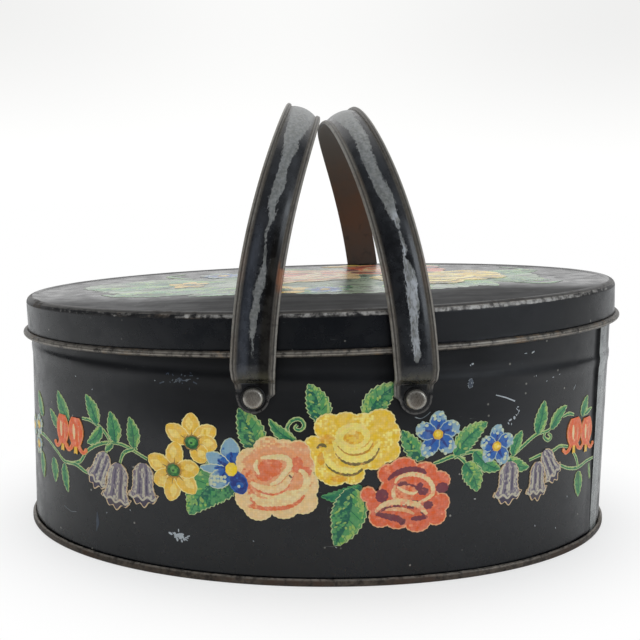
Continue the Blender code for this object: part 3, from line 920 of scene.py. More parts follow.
def outer_profile(width_neg, width_pos, lift_neg, lift_pos, web):
    """Outer face across the strap: a rim, the crowned web and the other rim."""
    left = rim_profile(-width_neg, lift_neg, np.linspace(0, 1, 9))
    right = rim_profile(width_pos, lift_pos, np.linspace(1, 0, 9))
    start, end = left[-1][0], right[0][0]
    middle = []
    for q in np.linspace(0, 1, 17)[1:-1]:
        crown = 0.05 + 1.25 * (1 - abs(2 * q - 1) ** 2.0)
        lip = float(smooth(0.0, 0.10, min(q, 1 - q)))
        valley = math.exp(-(min(q, 1 - q) / 0.085) ** 2)
        middle.append((start + (end - start) * q, STRAP_T / 2 + web * crown * lip, 0.0, 0.0,
                       valley * max(web, 0.3)))
    return left + middle + right


# rubbed ribbon on each handle: height fraction, centre (-1..1 across), half width
STREAK = {
    -1: np.array([
        (0.0, 0.0, 0.0), (0.13, 0.0, 0.0), (0.16, -0.05, 0.03), (0.205, -0.08, 0.05),
        (0.23, -0.08, 0.14), (0.29, -0.08, 0.17), (0.34, -0.03, 0.15), (0.37, -0.02, 0.17),
        (0.40, 0.05, 0.19), (0.45, 0.10, 0.12), (0.47, 0.05, 0.03), (0.55, -0.10, 0.05),
        (0.585, 0.0, 0.04), (0.605, 0.0, 0.15), (0.65, -0.14, 0.22), (0.70, 0.0, 0.26),
        (0.76, -0.08, 0.22), (0.815, -0.04, 0.27), (0.87, -0.10, 0.42), (0.94, 0.0, 0.62),
        (1.0, 0.0, 0.80)]),
    1: np.array([
        (0.0, 0.0, 0.0), (0.14, 0.0, 0.0), (0.155, 0.02, 0.15), (0.176, 0.03, 0.20),
        (0.234, 0.0, 0.17), (0.292, 0.08, 0.20), (0.346, 0.12, 0.25), (0.40, 0.20, 0.28),
        (0.455, 0.15, 0.18), (0.475, 0.05, 0.06), (0.50, 0.20, 0.10), (0.54, 0.18, 0.05),
        (0.58, 0.20, 0.04), (0.615, 0.15, 0.20), (0.66, 0.14, 0.26), (0.71, 0.0, 0.30),
        (0.77, -0.08, 0.27), (0.83, -0.05, 0.32), (0.89, 0.10, 0.34), (0.955, 0.0, 0.42),
        (1.0, 0.0, 0.62)]),
}


def build_handle(name, side, body):
    """One strap; side is -1 for the left (-X) and 1 for the right."""
    path = strap_path()
    along = lengths_along(path)
    raised = (np.maximum(path[:, 1], 0) / ARCH_H) ** 2
    centre = np.stack([-side * LEAN * raised, path[:, 0], path[:, 1]], -1)
    verts = []
    attributes = {key: [] for key in (
        "u", "along", "rim", "inner", "jog", "groove", "valley", "streak", "worn", "bright",
        "rust", "side", "high", "tab", "tabrim")}

    def add(point, **values):
        verts.append(point)
        for key, column in attributes.items():
            column.append(values.get(key, 0.0))

    half = STRAP_T / 2
    count = len(path)
    for i in range(count):
        y, h = path[i]
        tangent = centre[min(i + 1, count - 1)] - centre[max(i - 1, 0)]
        tangent = tangent / np.linalg.norm(tangent)
        tilt = math.radians(TWIST) * raised[i]
        wide = np.array([math.cos(tilt), 0.0, side * math.sin(tilt)])
        wide = wide - tangent * wide.dot(tangent)
        wide /= np.linalg.norm(wide)
        normal = np.cross(wide, tangent)
        normal /= np.linalg.norm(normal)
        if normal.dot(np.array([0.0, y, max(h, 0.0) + 1e-3])) < 0:
            normal = -normal
        # half width and rim lift of the edge away from the tin, then the edge over it
        edges = [(strap_half_width(h, True), float(smooth(2.4, 4.2, h))),
                 (strap_half_width(h, False), float(smooth(-0.6, 1.4, h)))]
        (width_neg, lift_neg), (width_pos, lift_pos) = edges if side < 0 else edges[::-1]
        web = float(smooth(STEP_HIGH + 0.2, STEP_HIGH + 2.6, h))
        outer = outer_profile(width_neg, width_pos, lift_neg, lift_pos, web)
        inner = [(width_pos + 0.02, 0.0), (width_pos - 0.1, -half)]
        inner += [(x, -half) for x in np.linspace(width_pos - 1.2, -width_neg + 1.2, 7)]
        inner += [(-width_neg + 0.1, -half), (-width_neg - 0.02, 0.0)]
        high = max(h, 0.0) / ARCH_H
        front = y < 0
        # where the paint is rubbed through: wide at the crown, a ribbon lower down
        table = STREAK[side]
        streak = float(np.interp(high, table[:, 0], table[:, 1]))
        worn = float(np.interp(high, table[:, 0], table[:, 2]))
        if not front:
            streak, worn = 0.6 * streak + 0.08 * math.sin(9 * high), 0.85 * worn
        common = {"along": along[i] if front else along[-1] - along[i],
                  "streak": streak, "high": high}
        half_mean = 0.5 * (width_neg + width_pos)
        jog = float(smooth(STEP_LOW - 0.4, STEP_LOW + 0.6, h)
                    * smooth(STEP_HIGH + 1.4, STEP_HIGH + 0.2, h))
        rusty = float(smooth(0.36, 0.40, high) * smooth(0.51, 0.46, high))
        tab = float(smooth(STEP_LOW + 0.4, STEP_LOW - 0.8, h))
        tab_height = float(smooth(1.6, 0.6, h))
        for x, out, rim, groove, valley in outer:
            from_pivot = math.hypot(x, min(h, 0.0))
            add(centre[i] + wide * x + normal * out, u=x / half_mean, rim=rim,
                jog=jog * (1 - rim), groove=groove * rim, valley=valley, worn=worn * web,
                # painted glints, strongest on the right strap's streak below the crown
                bright=1.0 if (side > 0 and high < 0.64) else 0.15,
                rust=rusty * (0.85 if (side < 0 and x > 0 and front) else 0.10),
                side=float(side + (0 if front else 3)), tab=tab * (1 - rim),
                tabrim=tab_height * float(smooth(TAB_R - 0.9, TAB_R - 0.5, from_pivot)),
                **common)
        for x, out in inner:
            add(centre[i] + wide * x + normal * out, u=x / half_mean, inner=1.0,
                side=float(side), **common)
    size = len(verts) // count
    faces = []
    for i in range(count - 1):
        for j in range(size):
            k = (j + 1) % size
            faces.append((i * size + j, i * size + k, (i + 1) * size + k, (i + 1) * size + j))
    faces.append(tuple(range(size - 1, -1, -1)))
    faces.append(tuple((count - 1) * size + j for j in range(size)))
    skew = -math.radians(SKEW)
    turn = np.array([[math.cos(skew), 0, math.sin(skew)], [0, 1, 0],
                     [-math.sin(skew), 0, math.cos(skew)]])
    verts = np.array(verts) @ turn.T + np.array([side * PIVOT_X, 0.0, PIVOT_Z])
    strap = mesh_object(name, verts, faces, [MATERIALS["strap"]], attributes, None, 42)
    fix_normals(strap)
    register(strap, body, "handle_left" if side < 0 else "handle_right")


# ---- rivets -------------------------------------------------------------------
def turned(name, profile, x, side, y, material, wobble=0.0, seed=0):
    """Turned solid; profile of (radius, height), height growing away from the tin."""
    profile = np.array(profile, float)
    widest = profile[:, 0].max()
    segments = 48
    verts, faces, outness = [], [], []
    phase = np.random.default_rng(seed).uniform(0, 6.28, 3)
    for k in range(segments):
        angle = 2 * math.pi * k / segments
        uneven = 1.0 + wobble * (math.sin(2 * angle + phase[0])
                                 + 0.5 * math.sin(3 * angle + phase[1]))
        for radius, height in profile:
            right = radius * uneven * math.cos(angle)
            up = radius * uneven * math.sin(angle)
            dent = 0.0
            if height > 1.0:
                dent = -1.8 * wobble * math.exp(-((right - 0.8) ** 2 + (up + 0.6) ** 2) / 2.0)
            verts.append((x + right, side * (y + height + dent), PIVOT_Z + up))
            outness.append(radius / widest if height > 0.3 else 1.0)
    size = len(profile)
    for k in range(segments):
        here, there = k * size, ((k + 1) % segments) * size
        for j in range(size - 1):
            faces.append((here + j, here + j + 1, there + j + 1, there + j))
    piece = mesh_object(name, verts, faces, [material], {"out": outness}, None, 30)
    fix_normals(piece, weld=True)
    return piece


def build_rivets():
    ring_at = TAB_Y + STRAP_T / 2 + RING_GAP
    head = ring_at + RING_T + 0.27
    ring = [(1.95, 0.0), (4.42, 0.0), (4.5, 0.1), (4.48, 0.32), (4.3, 0.48), (4.1, RING_T),
            (1.95, RING_T), (1.95, 0.0)]
    for side_x, end in ((-1, "left"), (1, "right")):
        for side_y, face in ((-1, "front"), (1, "rear")):
            tag = f"{end}_{face}"
            x = side_x * PIVOT_X
            box_lo, box_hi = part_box(f"rivet_{tag}")
            tail = min(abs(box_lo.y), abs(box_hi.y)) / MM - head
            # dome, shank and upset tail
            profile = [(0.0, 1.66), (1.2, 1.65), (2.3, 1.60), (3.0, 1.48), (3.4, 1.26),
                       (3.66, 0.92), (3.82, 0.5), (3.86, 0.12), (3.76, 0.0), (1.6, 0.0),
                       (1.6, tail + 1.15), (2.5, tail + 1.0), (2.7, tail + 0.6),
                       (2.4, tail + 0.2), (1.2, tail + 0.02), (0.0, tail)]
            dome = turned(f"rivet_{tag}_dome", profile, x, side_y, head,
                          MATERIALS["nickel"], wobble=0.008,
                          seed=(side_x > 0) * 2 + (side_y > 0))
            register(dome, "tin_body", f"rivet_{tag}")
            washer = turned(f"head_ring_{tag}", ring, x, side_y, ring_at, MATERIALS["ring"])
            register(washer, "tin_body", f"head_washer_{tag}")
            for part in ("spacer", "burr_washer"):
                slots = frame["nodes"][f"{part}_{tag}"].data.materials
                slots.clear()
                slots.append(MATERIALS["steel"])


# ---- printing -----------------------------------------------------------------
INK = {name: rgb(*colour) for name, colour in {
    "yellow": (243, 197, 80), "yellow_shade": (208, 152, 58), "yellow_pale": (250, 220, 122),
    "yellow_rim": (248, 228, 150), "green_dark": (18, 84, 48), "green": (40, 124, 58),
    "green_pale": (104, 172, 84), "orange": (238, 108, 60), "orange_pale": (252, 176, 116),
    "orange_rim": (244, 150, 84), "tip": (245, 200, 70), "teal": (14, 98, 78),
    "leaf": (38, 128, 82), "leaf_mid": (84, 156, 92), "leaf_pale": (160, 192, 100),
    "leaf_rim": (190, 204, 144), "blue": (38, 98, 176), "blue_dark": (28, 52, 130),
    "blue_pale": (136, 174, 194), "blue_rim": (206, 214, 180), "blue_edge": (168, 190, 184),
    "sun": (252, 216, 48), "sun_dark": (228, 178, 40), "butter": (246, 204, 74),
    "butter_pale": (252, 232, 124), "butter_deep": (238, 174, 56),
    "butter_shade": (118, 104, 58), "coral": (234, 112, 74), "coral_pale": (246, 158, 112),
    "coral_rim": (240, 178, 130), "cream": (244, 214, 160), "plum": (122, 54, 66),
    "peach": (240, 166, 116), "peach_pale": (244, 208, 150), "peach_rim": (242, 218, 158),
    "peach_deep": (234, 124, 82), "mauve": (122, 112, 128), "mauve_dark": (78, 72, 94),
    "bell": (196, 190, 170), "bell_dark": (66, 58, 78), "bell_rim": (216, 190, 150),
    "chip": (176, 184, 190), "chip_dark": (96, 104, 110), "rust": (196, 120, 62),
    "haze": (52, 62, 76), "sage": (148, 168, 140), "sage_dark": (58, 96, 74)}.items()}


def normals_of(points, floor=0.0):
    """Unit directions along a line and to its left."""
    way = np.gradient(points, axis=0)
    way /= np.maximum(np.linalg.norm(way, axis=1)[:, None], floor)
    return way, np.stack([-way[:, 1], way[:, 0]], -1)


def ellipse(centre, rx, ry, knob=0.0, period=1.9, phase=0.0, turn=0.0, step=0.5):
    """Outline of a rounded lobe, its edge broken into small scallops."""
    girth = math.pi * (rx + ry)
    angles = np.linspace(0, 2 * math.pi, max(14, int(girth / step)), endpoint=False)
    count = max(3, round(girth / period))
    scallop = np.abs(np.sin(0.5 * count * angles + phase)) - 0.6
    scale = 1.0 + knob * scallop / max(min(rx, ry), 0.6)
    x, y = rx * scale * np.cos(angles), ry * scale * np.sin(angles)
    cosine, sine = math.cos(turn), math.sin(turn)
    return np.stack([centre[0] + x * cosine - y * sine, centre[1] + x * sine + y * cosine], -1)


class Print:
    """Thin ink patches laid over the tin, one on another, as one mesh.

    place(x, y, out) gives points for flat positions, all in millimetres. Each patch
    takes the names of two inks and a tone between them, and lies one level above the
    patch before unless its rise says otherwise.
    """

    def __init__(self, place, base=0.05, step=0.008):
        self.place, self.base, self.step = place, base, step
        self.verts, self.faces = [], []
        self.first, self.second, self.flat, self.tone, self.plain = [], [], [], [], []
        self.level = 0.0
        self.shift = (0.0, 0.0)
        self.grow = (1.0, 1.0)
        self.rim_scale = 1.0

    def aim(self, x, y, from_x, from_y, grow_x=1.75, grow_y=2.0):
        """Put the drawing's point (from_x, from_y) at (x, y), enlarged about it."""
        self.grow = (grow_x, grow_y)
        self.shift = (x - grow_x * from_x, y - grow_y * from_y)

    def row(self, points, first, second, tone, plain, out=None):
        points = np.asarray(points, float)
        count = len(points)
        if out is None:
            out = self.base + self.step * self.level
        start = len(self.verts)
        x = points[:, 0] * self.grow[0] + self.shift[0]
        y = points[:, 1] * self.grow[1] + self.shift[1]
        self.verts.extend(self.place(x, y, np.full(count, out)))
        self.first.extend([tuple(first) + (1.0,)] * count)
        self.second.extend([tuple(second) + (1.0,)] * count)
        self.flat.extend(np.column_stack([points, np.zeros(count)]))
        self.tone.extend(np.broadcast_to(np.asarray(tone, float), (count,)))
        self.plain.extend([plain] * count)
        return list(range(start, start + count))

    def join(self, row, other, closed=True):
        count = len(row)
        for j in range(count if closed else count - 1):
            k = (j + 1) % count
            self.faces.append((row[j], row[k], other[k], other[j]))

    def join_all(self, rows):
        for row, other in zip(rows, rows[1:]):
            self.join(row, other, False)

    def inks(self, first, second, rim, rim_width):
        """Colours of a patch and the width of its rim, softened where rims are thin."""
        first, second = INK[first], INK[second]
        rim = INK[rim] if rim else None
        if rim is not None and self.rim_scale < 1.0:
            rim_width *= self.rim_scale
            rim = tuple(p + (q - p) * 0.5 for p, q in zip(rim, first))
        return first, second, rim, rim_width

    def fill(self, outline, first, second, tone=0.5, rim=None, rim_width=0.45, centre=None,
             rise=1.0):
        """A patch filled towards its centre; tone may be a function of (x, y)."""
        first, second, rim, rim_width = self.inks(first, second, rim, rim_width)
        outline = np.asarray(outline, float)
        centre = outline.mean(0) if centre is None else np.asarray(centre, float)
        inwards = centre - outline
        reach = np.linalg.norm(inwards, axis=1)[:, None]
        tone_at = tone if callable(tone) else (lambda x, y: np.full(len(x), float(tone)))
        edge, edge_second, plain = (first, second, 0.0) if rim is None else (rim, rim, 1.0)
        skirt = self.row(outline, edge, edge, 0, plain, -0.02)
        last = self.row(outline, edge, edge_second, tone_at(*outline.T), plain)
        self.join(skirt, last)
        if rim is not None:
            outline = outline + inwards / np.maximum(reach, 1e-6) \
                * np.minimum(rim_width, reach * 0.45)
            band = self.row(outline, rim, rim, 0, 1.0)
            self.join(last, band)
            last = self.row(outline, first, second, tone_at(*outline.T), 0.0)
        rings = max(1, int(math.ceil(float(reach.max()) / 2.6)) - 1)
        for k in range(1, rings + 1):
            ring = outline + (centre - outline) * (k / (rings + 1.0))
            row = self.row(ring, first, second, tone_at(*ring.T), 0.0)
            self.join(last, row)
            last = row
        middle = self.row(centre[None, :], first, second,
                          tone_at(centre[:1], centre[1:2]), 0.0)[0]
        for j in range(len(last)):
            self.faces.append((last[j], last[(j + 1) % len(last)], middle))
        self.level += rise

    def dot(self, centre, rx, ry, first, second, tone=0.5, knob=0.0, period=1.9, phase=0.0,
            turn=0.0, step=0.5, **rest):
        """A filled, scalloped ellipse."""
        outline = ellipse(centre, rx, ry, knob, period, phase, turn, step)
        self.fill(outline, first, second, tone, **rest)

    def strip(self, line, half, first, second, tone=0.5, rim=None, rim_width=0.4, teeth=0.0,
              period=2.0, across=5, rise=1.0):
        """A band along a line; half width and tone may be functions of the way along."""
        first, second, rim, rim_width = self.inks(first, second, rim, rim_width)
        points = resample(line, 0.55)
        count = len(points)
        along = lengths_along(points)
        t = along / max(along[-1], 1e-6)
        width = np.asarray([half(v) for v in t]) if callable(half) \
            else np.full(count, float(half))
        normal = normals_of(points, 1e-6)[1]
        toothed = teeth * np.minimum(1.0, width / 1.2)
        left = width + toothed * ((along / period) % 1.0 - 0.5)
        right = width + toothed * ((along / period + 0.45) % 1.0 - 0.5)
        tone_at = tone if callable(tone) else (lambda v, c: np.full(len(v), float(tone)))

        def line_at(c, inset):
            """Points at fraction c across, with the edges pulled in by the inset."""
            limit = right if c < 0 else left
            limit = np.maximum(limit - inset, 0.25 * limit)
            return points + normal * (c * limit)[:, None]

        inset = rim_width if rim is not None else 0.0
        if rim is not None:
            outside, inside = line_at(-1.0, 0.0), line_at(-1.0, inset)
            self.join_all([self.row(outside, rim, rim, 0, 1.0, -0.02),
                           self.row(outside, rim, rim, 0, 1.0),
                           self.row(inside, rim, rim, 0, 1.0)])
        self.join_all([self.row(line_at(c, inset), first, second,
                                tone_at(t, np.full(count, c)), 0.0)
                       for c in np.linspace(-1, 1, across)])
        if rim is not None:
            outside, inside = line_at(1.0, 0.0), line_at(1.0, inset)
            self.join_all([self.row(inside, rim, rim, 0, 1.0),
                           self.row(outside, rim, rim, 0, 1.0),
                           self.row(outside, rim, rim, 0, 1.0, -0.02)])
        self.level += rise

    def build(self, name, material, body):
        attributes = {"inkA": self.first, "inkB": self.second, "mm": self.flat,
                      "tone": self.tone, "plain": self.plain}
        piece = mesh_object(name, self.verts, self.faces, [material], attributes, None, 60)
        register(piece, body)


def bulge(t, start, span):
    """Half a sine wave, begun and ended a little inside its zeros."""
    return math.sin(math.pi * (start + span * t))


def bent(base, tip, bend):
    base, tip = np.array(base, float), np.array(tip, float)
    t = np.linspace(0, 1, 9)[:, None]
    way = tip - base
    return base + way * t + np.array([-way[1], way[0]]) * bend * np.sin(math.pi * t)


# ---- leaves and flowers -------------------------------------------------------
# inks of shade, middle and lit half; rim ink; half width as a share of the width
LEAF_KINDS = {
    "green": ("leaf", "leaf_mid", "leaf_pale", "leaf_rim", 0.5),
    "teal": ("teal", "leaf_mid", "leaf_pale", "leaf_rim", 0.46),
    "dark": ("teal", "leaf", "leaf_mid", "leaf_mid", 0.5),
}


def draw_leaf(pen, base, tip, width, bend, kind="green"):
    shade, middle, lit, rim, share = LEAF_KINDS[kind]
    line = bent(base, tip, bend)

    def half(t):
        body = math.sin(math.pi * min(max(t, 0.0), 1.0) ** 0.78)
        return 0.08 + width * share * max(body, 0.0) ** 0.72
    teeth = (0.95 if width > 7 else 0.65) if width > 4 else 0.35
    pen.strip(line, half, shade, middle,
              lambda t, c: 0.44 + 0.14 * np.abs(c) - 0.12 * (t < 0.3),
              rim, 0.38, teeth=teeth, period=2.1, across=7)
    # the lit half
    points = resample(line, 0.55)
    way, normal = normals_of(points)
    sign = 1.0 if (normal[:, 0].mean() * 0.7 + normal[:, 1].mean() > 0) else -1.0
    widths = np.array([half(v) for v in np.linspace(0, 1, len(points))])
    lit_line = points + normal * (sign * (widths * 0.47))[:, None]
    pen.strip(lit_line[2:-2], lambda t: max(0.05, half(0.06 + t * 0.86) * 0.36), middle, lit,
              lambda t, c: 0.40 + 0.22 * c * sign + 0.1 * np.sin(t * 9),
              teeth=0.25, period=1.6, across=4)
    # veins
    pen.strip(points[1:-3], lambda t: 0.30 * (1 - 0.6 * t), "teal", "leaf", 0.3)
    veins = max(2, int(len(points) * 0.55 / 3.4))
    for k in range(veins):
        i = int((k + 0.8) / (veins + 0.6) * (len(points) - 1))
        reach = widths[i] * 0.66
        if reach < 1.0:
            continue
        for side in (1, -1):
            end = points[i] + way[i] * reach * 0.75 + normal[i] * side * reach
            middle_point = (points[i] + end) / 2 + normal[i] * side * 0.15
            pen.strip([points[i], middle_point, end], lambda t: 0.20 * (1 - 0.5 * t),
                      "teal", "leaf", 0.55, rise=0)
    pen.level += 1
    if width > 7:
        # flecks of light between the veins
        rng = np.random.default_rng(int(abs(base[0]) * 10 + abs(base[1]) * 7))
        for _ in range(int(width * 1.5)):
            along, across = rng.uniform(0.14, 0.86), rng.uniform(-0.72, 0.72)
            i = int(along * (len(points) - 1))
            turn = math.atan2(way[i, 1], way[i, 0]) + (0.8 if across > 0 else -0.8)
            pen.dot(points[i] + normal[i] * across * widths[i], rng.uniform(0.5, 1.5),
                    rng.uniform(0.3, 0.6), "leaf_pale", "leaf_mid", 0.48, knob=0.05,
                    turn=turn, rise=0)
        pen.level += 1


def draw_vine(pen, points, width=0.85, rise=1.0):
    pen.strip(spline(points), lambda t: width * (1.0 - 0.25 * abs(2 * t - 1)), "leaf",
              "leaf_pale", lambda t, c: 0.42 + 0.2 * c, "leaf_rim", 0.3, teeth=0.28,
              period=1.5, across=3, rise=rise)


def draw_petal(pen, centre, tip, width, first, second, rim, tone):
    def half(t):
        body = math.sin(math.pi * min(max(t, 0.02) ** 1.25, 0.999)) ** 0.55
        return max(0.06, 0.5 * width * (body * (1 - 0.15 * t)) + 0.35 * (1 - t) * 0.6)
    pen.strip(bent(centre, tip, 0.03), half, first, second, tone, rim, 0.42, teeth=0.32,
              period=1.9, across=6)


def star_flower(pen, centre, tips, width):
    """Yellow flower: five or six broad petals round a green ball."""
    centre = np.array(centre, float)
    for tip in tips:
        draw_petal(pen, centre, tip, width, "yellow_shade", "yellow", "yellow_rim",
                   lambda t, c: 0.25 + 0.55 * smooth(0.05, 0.5, t))
        way = np.array(tip, float) - centre
        side = np.array([-way[1], way[0]]) / np.linalg.norm(way)
        pen.strip([centre + way * 0.42 + side * width * 0.10,
                   centre + way * 0.86 + side * width * 0.14],
                  lambda t: 0.2 + width * 0.17 * math.sin(math.pi * min(t + .02, .99)),
                  "yellow", "yellow_pale", 0.62)
        pen.strip([centre + way * 0.22, centre + way * 0.22 + way * 0.22],
                  lambda t: 0.32 * (1 - 0.8 * t), "yellow_shade", "butter_shade")
        pen.level -= 2
    pen.level += 3
    pen.dot(centre, 3.3, 3.0, "yellow_shade", "butter_shade", 0.55, knob=0.25)
    pen.dot(centre, 2.7, 2.5, "green_dark", "green", knob=0.15)
    pen.dot(centre + (0.3, 0.35), 1.7, 1.4, "green", "green_pale", 0.55)
    pen.dot(centre + (-0.2, -0.1), .6, .5, "green_dark", "green_dark")


def blue_flower(pen, centre, tips, width):
    """Blue petals with dark roots and beaded ends round a yellow ball."""
    centre = np.array(centre, float)
    for k, tip in enumerate(tips):
        draw_petal(pen, centre, tip, width, "blue", "blue_pale", "blue_edge",
                   lambda t, c: 0.22 + 0.46 * smooth(0.40, 0.95, t) + 0.12 * np.abs(c))
        way = np.array(tip, float) - centre
        pen.strip([centre + way * 0.12, centre + way * 0.66],
                  lambda t: 0.9 * (1 - 0.75 * t), "blue_dark", "blue", 0.45)
        for j in range(6):
            bead = centre + way * (0.60 + 0.062 * j) \
                + np.array([-way[1], way[0]]) * (0.26 * math.sin(2.4 * j + k))
            pen.dot(bead, 0.75, 0.6, "blue_rim", "blue_pale", 0.46, knob=0.1, turn=j,
                    step=0.6, rise=0)
        pen.level -= 1
    pen.level += 3
    pen.dot(centre, 2.1, 2.0, "sun_dark", "sun", 0.35, knob=0.2)
    pen.dot(centre + (-0.1, 0.2), 1.3, 1.2, "sun", "yellow_pale", 0.45)


def grey_bell(pen, top, mouth, width):
    """Mauve bell with cream columns of beads and a dark open mouth."""
    top, mouth = np.array(top, float), np.array(mouth, float)
    axis = mouth - top
    down = axis / np.linalg.norm(axis)
    side = np.array([-down[1], down[0]])
    if side[0] < 0:
        side = -side
    # mouth first: a dark crescent with a cream lip
    lower = [mouth + side * c * width * 0.56
             + down * (3.4 * (1 - abs(c) ** 1.8) + 0.8 * math.sin(11 * c))
             - down * 1.1 * abs(c) for c in np.linspace(-1, 1, 25)]
    upper = [mouth + side * c * width * 0.50 - down * (1.6 + 0.6 * abs(c))
             for c in np.linspace(1, -1, 13)]
    pen.fill(resample(lower + upper + [lower[0]], 0.5)[:-1], "bell_dark", "mauve_dark", 0.4,
             "bell_rim", 0.5, centre=mouth - down * 0.2)

    def half(t):
        flare = 0.44 + 0.30 * smooth(0.0, 0.30, t) + 0.24 * smooth(0.62, 1.0, t)
        return float(0.5 * width * flare * float(smooth(-0.10, 0.10, t)))

    def column(c, start, end):
        return [top + axis * t + side * c * half(t) for t in np.linspace(start, end, 9)]
    pen.strip([top, (top + mouth) / 2, mouth + down * 0.2], half, "mauve", "bell",
              lambda t, c: 0.44 + 0.10 * np.cos(c * 7.0) - 0.12 * smooth(0.8, 1, t),
              "bell_rim", 0.38, teeth=0.45, period=1.7, across=9)
    for c in (-0.60, 0.08, 0.62):
        pen.strip(column(c, 0.12, 0.97), lambda t: 0.26 + 0.34 * t, "bell", "mauve", 0.46,
                  teeth=0.4, period=1.3, across=3, rise=0)
    pen.level += 1
    for c in (-0.26, 0.36):
        pen.strip(column(c, 0.15, 0.9), lambda t: 0.20 + 0.22 * t, "mauve_dark", "mauve",
                  0.45, rise=0)
    pen.level += 1
    # scalloped lip over the mouth
    edge = [mouth + side * c * width * 0.47
            + down * (0.7 * math.cos(c * 8.5) - 0.6 * abs(c) + 0.1)
            for c in np.linspace(-1, 1, 25)]
    pen.strip(edge, 0.42, "bell", "bell_rim", 0.4)


def orange_bell(pen, centre, width, tails):
    """Hanging orange bell; tails lists the sides (-1, 1) with a curled end."""
    x, y = centre
    height = 16.0
    low = y - height * 0.32
    for k in tails:
        points = [(x + k * width * 0.18, low + 1.2), (x + k * width * 0.30, low - 1.2),
                  (x + k * width * 0.52, low - 2.2), (x + k * width * 0.66, low - 0.9)]
        pen.strip(spline(points, 0.4), lambda t: 1.05 - 0.35 * t, "orange", "orange_pale",
                  0.35, "orange_rim", 0.3)
        pen.dot(points[-1], 0.95, 0.95, "orange", "orange_pale", 0.45, rim="orange_rim",
                rim_width=0.25)
    pen.strip([(x, low + 1.0), (x + 0.2, low - 3.2)], lambda t: 1.25 - 0.55 * t,
              "orange", "tip", lambda t, c: 0.2 + 0.9 * t, "orange_rim", 0.25)
    for k in (-1, 1):
        pen.strip([(x + 0.5 * k, low - 0.6), (x + 0.9 * k, low - 3.4)], 0.34, "tip",
                  "sun_dark", 0.4)
    pen.strip([(x, y + height * 0.42), (x + 0.1, y), (x, low)],
              lambda t: width * 0.5 * max(bulge(t, 0.10, 0.80) ** 0.6, 0.1),
              "orange", "orange_pale", lambda t, c: 0.30 + 0.14 * np.cos(c * 5.5),
              "orange_rim", 0.4, teeth=0.2, period=1.8, across=7)
    pen.strip([(x - width * 0.12, y + height * 0.24), (x - width * 0.08, y - height * 0.16)],
              lambda t: 0.30 + 0.55 * math.sin(math.pi * min(t + 0.02, 0.98)), "cream",
              "orange_pale", 0.4)
    pen.strip([(x + width * 0.22, y + height * 0.22), (x + width * 0.20, y - height * 0.2)],
              0.30, "coral_rim", "orange", 0.45)


# ---- roses --------------------------------------------------------------------
def rose(pen, lobes, first, second, rim, tone):
    """Silhouette from overlapping lobes (x, y, rx, ry): rims below, inks above."""
    for inset, inks, shade in ((0.0, (rim, rim), 0.5), (0.45, (first, second), tone)):
        for k, (x, y, rx, ry) in enumerate(lobes):
            pen.dot((x, y), rx - inset, ry - inset, *inks, shade, knob=0.30, phase=k,
                    rise=0.1)
        pen.level += 1.5


def blotches(pen, spots, first, second, tones, knob, period):
    """Scalloped spots (x, y, rx, ry), with one tone for all or one each."""
    for k, (x, y, rx, ry) in enumerate(spots):
        tone = float(np.broadcast_to(tones, len(spots))[k])
        pen.dot((x, y), rx, ry, first, second, tone, knob=knob, period=period, phase=k,
                rise=0.2)
    pen.level += 1


def lip(pen, points, width, first, second, under=None, tone=0.5, drop=0.9):
    """Curled petal edge, with a darker band dropped below it where under is given."""
    line = spline(points)
    if under:
        pen.strip(line + np.array([0.2, -drop]),
                  lambda t: width * 0.75 * bulge(t, 0.06, 0.88) ** 0.5, *under, 0.45,
                  teeth=0.3, period=1.6, across=3)
    pen.strip(line, lambda t: width * bulge(t, 0.06, 0.88) ** 0.5, first, second, tone,
              teeth=0.45, period=1.7, across=3)


